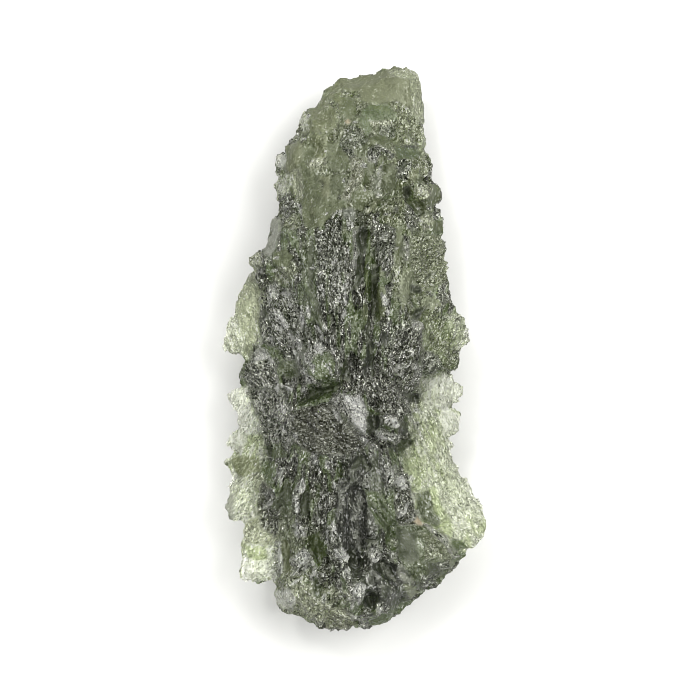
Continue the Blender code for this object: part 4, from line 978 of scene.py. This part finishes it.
painting = {
    "thinBlur": 0.15,  # mm, how soft the border of a thin place is
    "shapeBlur": 0.08,  # mm, and of a shape
    "shapeWander": 0.35,  # share of the borders' wander that the shapes have
    "broadPatch": 0.95,  # mm, half the width past which a patch is a broad zone
    "broadCover": 0.75,  # what a broad zone hides of the streaks
    # share of the painted highlight on facets facing the main lamp
    "facetHighlight": 0.5,
    "strokeRagged": 0.15,  # share of the raggedness that the strokes have
    "strokeWidth": 1.4,  # times the width given
    "grooveRagged": 0.1,
    "grooveWidth": 1.1,
    # painted shade in the grooves: the most of it, how much per mm of depth, and its share by width
    "grooveCover": 0.8,  # the most that a groove's tint hides
    "coverPerDepth": 2.0,  # for each mm of its depth
    "coverByWidth": 0.2,  # mm, shared out over its width
}


def paint(skin, share, tint):  # lays a tint over the skin, as much as each point's share
    skin += share[:, None] * (np.array(tints[tint]) - skin)


def paintSkin(points, flow, upper):  # the tint of each point, and its share in the facets
    ragged = noiseAt("ragged", points)
    wander = np.column_stack([noiseAt("wander x", points), noiseAt("wander y", points)])
    streaks = noiseAt("streaks", flow)
    veins = fade("vein", streaks)
    # the grey base is partly a painted sheen of reflected lamp light
    skin = np.tile(tints["grey"], (len(points), 1))
    paint(skin, fade("green streak", streaks), "green")
    for middle, halfLength, halfWidth, turn, tint in forms["patches"]:
        edge = patchDistance(points, middle, halfLength, halfWidth, turn)
        cover = painting["broadCover"] if halfWidth > painting["broadPatch"] else 1
        paint(skin, (1 - fade("patch edge", edge + ragged)) * cover * upper, tint)
    facets = np.zeros(len(points))
    for facet in forms["facets"]:
        # painted highlight: facets that tilt towards the main lamp are made paler
        share = upper * (1 - fade("pale facet", patchDistance(points, *facet[:4]) + ragged))
        paint(skin, share * painting["facetHighlight"], "pale")
        facets = np.maximum(facets, share)
    places = points[:, :2] + wander
    for amount, pale, greener, border in thinPlaces.values():
        depth = depthInside(places, border)
        share = amount * smoothStep(-painting["thinBlur"], painting["thinBlur"], depth)
        paint(skin, share, pale)
        paint(skin, share * veins, greener)
    places = points[:, :2] + wander * painting["shapeWander"]
    for tint, border, *_ in forms["shapes"]:
        depth = depthInside(places, border)
        paint(skin, smoothStep(-painting["shapeBlur"], painting["shapeBlur"], depth) * upper, tint)
    places = points[:, :2] + ragged[:, None] * painting["strokeRagged"]
    for line, width in forms["strokes"]:
        inside = lineFalloff(places, line, width * painting["strokeWidth"])
        paint(skin, upper * fade("stroke", inside), "white")
    # painted shade: groove floors are darkened with the deep green tint, more where they are deeper
    places = points[:, :2] + ragged[:, None] * painting["grooveRagged"]
    for line, width, depth in forms["grooves"]:
        inside = lineFalloff(places, line, width * painting["grooveWidth"])
        cover = min(depth * painting["coverPerDepth"], painting["coverByWidth"] / width)
        cover = min(cover, painting["grooveCover"])
        paint(skin, upper * fade("groove floor", inside) * cover, "deep green")
    # painted highlights: the glints are laid in with the bright tint
    for (x, y), radius in forms["glints"]:
        distance = np.hypot(points[:, 0] - x, points[:, 1] - y)
        paint(skin, upper * (distance < radius), "bright")
    return skin, facets


def turnedFlow(points):  # the flow's places, turned where a shape's grain runs its own way
    flow = flowPlaces(points)
    for number, (_, border, *turn) in enumerate(forms["shapes"]):
        if turn:
            within = depthInside(points[:, :2], border) > 0
            angle = math.radians(turn[0])
            x, y = points[within, 0], points[within, 1]
            shift = number * stoneForm["grainShift"]
            flow[within, 0] = y * math.cos(angle) - x * math.sin(angle) + shift
            flow[within, 1] = x * math.cos(angle) + y * math.sin(angle)
    return flow


def carveSkin(stone):
    mesh = stone.data
    points = readPoints(mesh) / mm
    normals = readPoints(mesh, "normal")
    flow = turnedFlow(points)
    relief = chipsAt("chips", flow) + chipsAt("flakes", flow)
    relief += noiseAt("swell", flow) - np.abs(noiseAt("flutes", flow))
    rim = 1 - fade("rim wall", np.abs(normals[:, 2]))
    relief += rim * noiseAt("teeth", points)
    random = np.random.default_rng(stoneForm["crumbSeed"])
    relief += random.uniform(-1, 1, len(points)) * stoneForm["crumbs"]
    skin, facets = paintSkin(points, flow, fade("painted side", normals[:, 2]))
    grain = skin[:, 3]
    kept = stoneForm["windowRelief"] + (1 - stoneForm["windowRelief"]) * fade("rough skin", grain)
    relief *= kept * (1 - stoneForm["facetRelief"] * facets)
    points += normals * relief[:, None]
    points[:, 2] = np.clip(points[:, 2], 0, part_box("moldavite")[1][2] / mm)
    writePoints(mesh, points * mm)
    writeAttribute(mesh, "flow", "FLOAT_VECTOR", turnedFlow(points))
    writeAttribute(mesh, "skin", "FLOAT_COLOR", np.insert(skin[:, :3], 3, 1, 1))
    writeAttribute(mesh, "grain", "FLOAT", grain)
    writeAttribute(mesh, "facet", "FLOAT", facets)
    corners = np.empty(len(mesh.loops), np.int32)
    mesh.loops.foreach_get("vertex_index", corners)
    starts = np.empty(len(mesh.polygons), np.int32)
    mesh.polygons.foreach_get("loop_start", starts)
    mesh.polygons.foreach_set("use_smooth", grain[corners[starts]] < stoneForm["smoothBelow"])
    print("skin carved")


def makeStone():
    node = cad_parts["moldavite"]
    stone = bpy.data.objects.new("moldavite_stone", node.data.copy())
    bpy.context.scene.collection.objects.link(stone)
    stone.data.materials.clear()
    alone(stone)
    bpy.ops.object.mode_set(mode="EDIT")
    bpy.ops.mesh.select_all(action="SELECT")
    bpy.ops.mesh.remove_doubles(threshold=stoneForm["mergeDistance"] * mm)
    bpy.ops.object.mode_set(mode="OBJECT")
    applied(stone, "REMESH", mode="VOXEL", voxel_size=stoneForm["baseVoxel"] * mm)
    applied(stone, "SMOOTH", factor=stoneForm["smoothFactor"], iterations=stoneForm["smoothing"])
    shapeTheRim(stone)
    sculptForms(stone)
    applied(stone, "REMESH", mode="VOXEL", voxel_size=stoneForm["fineVoxel"] * mm)
    print("stone remeshed", len(stone.data.polygons))
    carveSkin(stone)
    return stone


glass = {
    "clearness": 0.85,
    "ior": 1.49,
    "specularTint": (0.94, 0.97, 0.85),
    "roughness": (0.06, 0.16),
    "smoothRoughness": 0.65,
    "absorption": (0.27, 0.38, 0.0),
    "absorptionPerMetre": 340.0,
    "hackleSpacing": 0.1,  # mm across the flow
    "hackleLength": 1.4,  # times its spacing
    "streakSpacing": 0.2,  # mm across the flow
    "streakLength": 3.5,  # times its spacing
    "hackleSlope": 1.2,
    "windowHackle": 0.12,  # share of the hackle that the smooth places keep
    "facetHackle": 0.8,  # and that the facets keep
    "grainContrast": 1.3,
    "streakContrast": 1.0,
    # painted glints: the grain's whitest cells, put into the colour where facets would catch the lamps
    "grainWhite": (0.87, 0.87, 0.89),
    "whiteAnywhere": 0.25,  # how white the grain's brightest cells are outside the streaks
    "whiteInStreaks": 3.0,
    "streakSharpness": 3,  # how few streaks are bright
    "cellSharpness": 5,  # and how few cells
    "darkest": (0.008, 0.01, 0.006),
    "brightest": (0.98, 0.98, 0.96),
}


def greenGlass():
    material = bpy.data.materials.new("green glass")
    material.use_nodes = True
    tree = material.node_tree
    tree.nodes.clear()

    def attribute(name, output):
        return addNode(tree, "ShaderNodeAttribute", {"attribute_name": name}, output=output)

    def vector(operation, first, second, output="Vector"):
        settings = {"operation": operation}
        return addNode(tree, "ShaderNodeVectorMath", settings, {0: first, 1: second}, output)

    def scaled(first, scale):
        settings = {"operation": "SCALE"}
        return addNode(tree, "ShaderNodeVectorMath", settings, {0: first, "Scale": scale}, "Vector")

    def cellsAlong(spacing, length):  # a random colour for each cell, drawn out along the flow
        stretched = vector("MULTIPLY", attribute("flow", "Vector"), (1, 1 / length, 1))
        inputs = {"Vector": stretched, "Scale": 1 / spacing}
        return addNode(tree, "ShaderNodeTexVoronoi", {"feature": "F1"}, inputs, "Color")

    def channel(colour, axis):
        return vector("DOT_PRODUCT", colour, axis, "Value")

    # the cells' random values run from 0 to 1, about their mean
    mean = 0.5
    cells = cellsAlong(glass["hackleSpacing"], glass["hackleLength"])
    streak = channel(cellsAlong(glass["streakSpacing"], glass["streakLength"]), (1, 0, 0))
    chance = channel(cells, (0, 1, 0))
    grain = attribute("grain", "Fac")
    # how rough the skin is, from smooth windows to full hackle
    rough = grain.combine("MINIMUM", grain, 1.0)
    rough = rough * (1 - glass["windowHackle"]) + glass["windowHackle"]
    rough = rough * (1 - attribute("facet", "Fac") * (1 - glass["facetHackle"]))
    tilt = scaled(vector("SUBTRACT", cells, (mean, mean, mean)), rough * glass["hackleSlope"])
    facing = addNode(tree, "ShaderNodeNewGeometry", output="Normal")
    normal = vector("NORMALIZE", vector("ADD", facing, tilt), (0, 0, 0))
    low, high = glass["roughness"]
    roughness = channel(cells, (1, 0, 0)) * (high - low) + low
    roughness = roughness + (1 - rough) * glass["smoothRoughness"]
    # the tint, lighter and darker from cell to cell, with a few white ones as painted glints
    contrast = (chance - mean) * glass["grainContrast"] + (streak - mean) * glass["streakContrast"]
    lit = streak ** glass["streakSharpness"] * glass["whiteInStreaks"] + glass["whiteAnywhere"]
    white = grain * lit * chance ** glass["cellSharpness"]
    lifted = scaled(attribute("skin", "Color"), grain * contrast + 1)
    colour = vector("ADD", lifted, scaled(glass["grainWhite"], white))
    colour = vector("MAXIMUM", vector("MINIMUM", colour, glass["brightest"]), glass["darkest"])
    inputs = {
        "Base Color": colour,
        "Roughness": roughness,
        "IOR": glass["ior"],
        "Specular Tint": (*glass["specularTint"], 1),
        "Transmission Weight": glass["clearness"],
        "Normal": normal,
    }
    surface = addNode(tree, "ShaderNodeBsdfPrincipled", inputs=inputs)
    inputs = {"Color": (*glass["absorption"], 1), "Density": glass["absorptionPerMetre"]}
    inside = addNode(tree, "ShaderNodeVolumeAbsorption", inputs=inputs)
    addNode(tree, "ShaderNodeOutputMaterial", inputs={"Surface": surface, "Volume": inside})
    return material


light = {
    "worldColour": (1.0, 1.0, 0.98),
    "worldStrength": 0.95,
    "distance": 2.4,  # m
    # name: (direction to the lamp, width in m, radiance)
    "lamps": {
        "right": ((0.75, 0.35, 0.9), 1.5, 13.5),
        "left": ((-0.8, 0.2, 0.85), 1.6, 4.5),
        "front": ((0.1, -0.85, 0.85), 1.5, 4.0),
        "back": ((-0.1, 0.85, 0.85), 1.6, 6.0),
        "sparkle": ((-0.35, 0.55, 1.0), 0.35, 50.0),
    },
    "lampColour": (1.0, 1.0, 0.95),
    "floorColour": (0.4, 0.4, 0.405),
    "floorRoughness": 0.9,
    "floorRadius": 0.7,  # m
    "floorSides": 96,
    "floorDrop": 0.02,  # mm under the stone
}


def makeFloor():
    bpy.ops.mesh.primitive_circle_add(
        vertices=light["floorSides"],
        radius=light["floorRadius"],
        fill_type="NGON",
        location=(0, 0, -light["floorDrop"] * mm),
    )
    floor = bpy.context.object
    floor.name = "floor"
    material = bpy.data.materials.new("pale floor")
    material.use_nodes = True
    shader = material.node_tree.nodes["Principled BSDF"]
    shader.inputs["Base Color"].default_value = (*light["floorColour"], 1)
    shader.inputs["Roughness"].default_value = light["floorRoughness"]
    shader.inputs["Specular IOR Level"].default_value = 0.0
    floor.data.materials.append(material)


def makeLights():
    world = bpy.data.worlds.new("studio")
    bpy.context.scene.world = world
    world.use_nodes = True
    background = world.node_tree.nodes["Background"]
    background.inputs["Color"].default_value = (*light["worldColour"], 1)
    background.inputs["Strength"].default_value = light["worldStrength"]
    for name, (direction, width, radiance) in light["lamps"].items():
        towards = Vector(direction).normalized()
        data = bpy.data.lights.new(name, "AREA")
        data.size = width
        data.color = light["lampColour"]
        data.energy = radiance * math.pi * width * width
        lamp = bpy.data.objects.new(name, data)
        lamp.location = towards * light["distance"]
        lamp.rotation_euler = towards.to_track_quat("Z", "Y").to_euler()
        bpy.context.scene.collection.objects.link(lamp)


# straight down on a stone about 42 mm long
view = {
    "imageSize": 700,  # pixels
    "millimetresPerPixel": 0.075,
    "centre": (-0.40, -0.07),  # mm, what the middle of the picture looks at
    "focusHeight": 5.0,  # mm
    "distance": 250.0,  # mm
    "clip": (0.01, 10.0),  # m
    "sensor": 36.0,  # mm
    "filterWidth": 0.8,  # pixels
    "bounces": 12,
}


def makeCamera():
    data = bpy.data.cameras.new("camera")
    data.sensor_width = view["sensor"]
    across = view["imageSize"] * view["millimetresPerPixel"]
    data.lens = view["sensor"] * view["distance"] / across
    data.clip_start, data.clip_end = view["clip"]
    camera = bpy.data.objects.new("camera", data)
    x, y = view["centre"]
    camera.location = (x * mm, y * mm, (view["focusHeight"] + view["distance"]) * mm)
    bpy.context.scene.collection.objects.link(camera)
    bpy.context.scene.camera = camera


makeCamera()
makeLights()
makeFloor()
print("studio ready")

stone = makeStone()
stone.data.materials.append(greenGlass())
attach(stone, "root")
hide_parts("moldavite")
print("stone finished")

scene = bpy.context.scene
scene.view_settings.view_transform = "Standard"
scene.cycles.filter_width = view["filterWidth"]
scene.cycles.max_bounces = view["bounces"]
scene.cycles.transmission_bounces = view["bounces"]
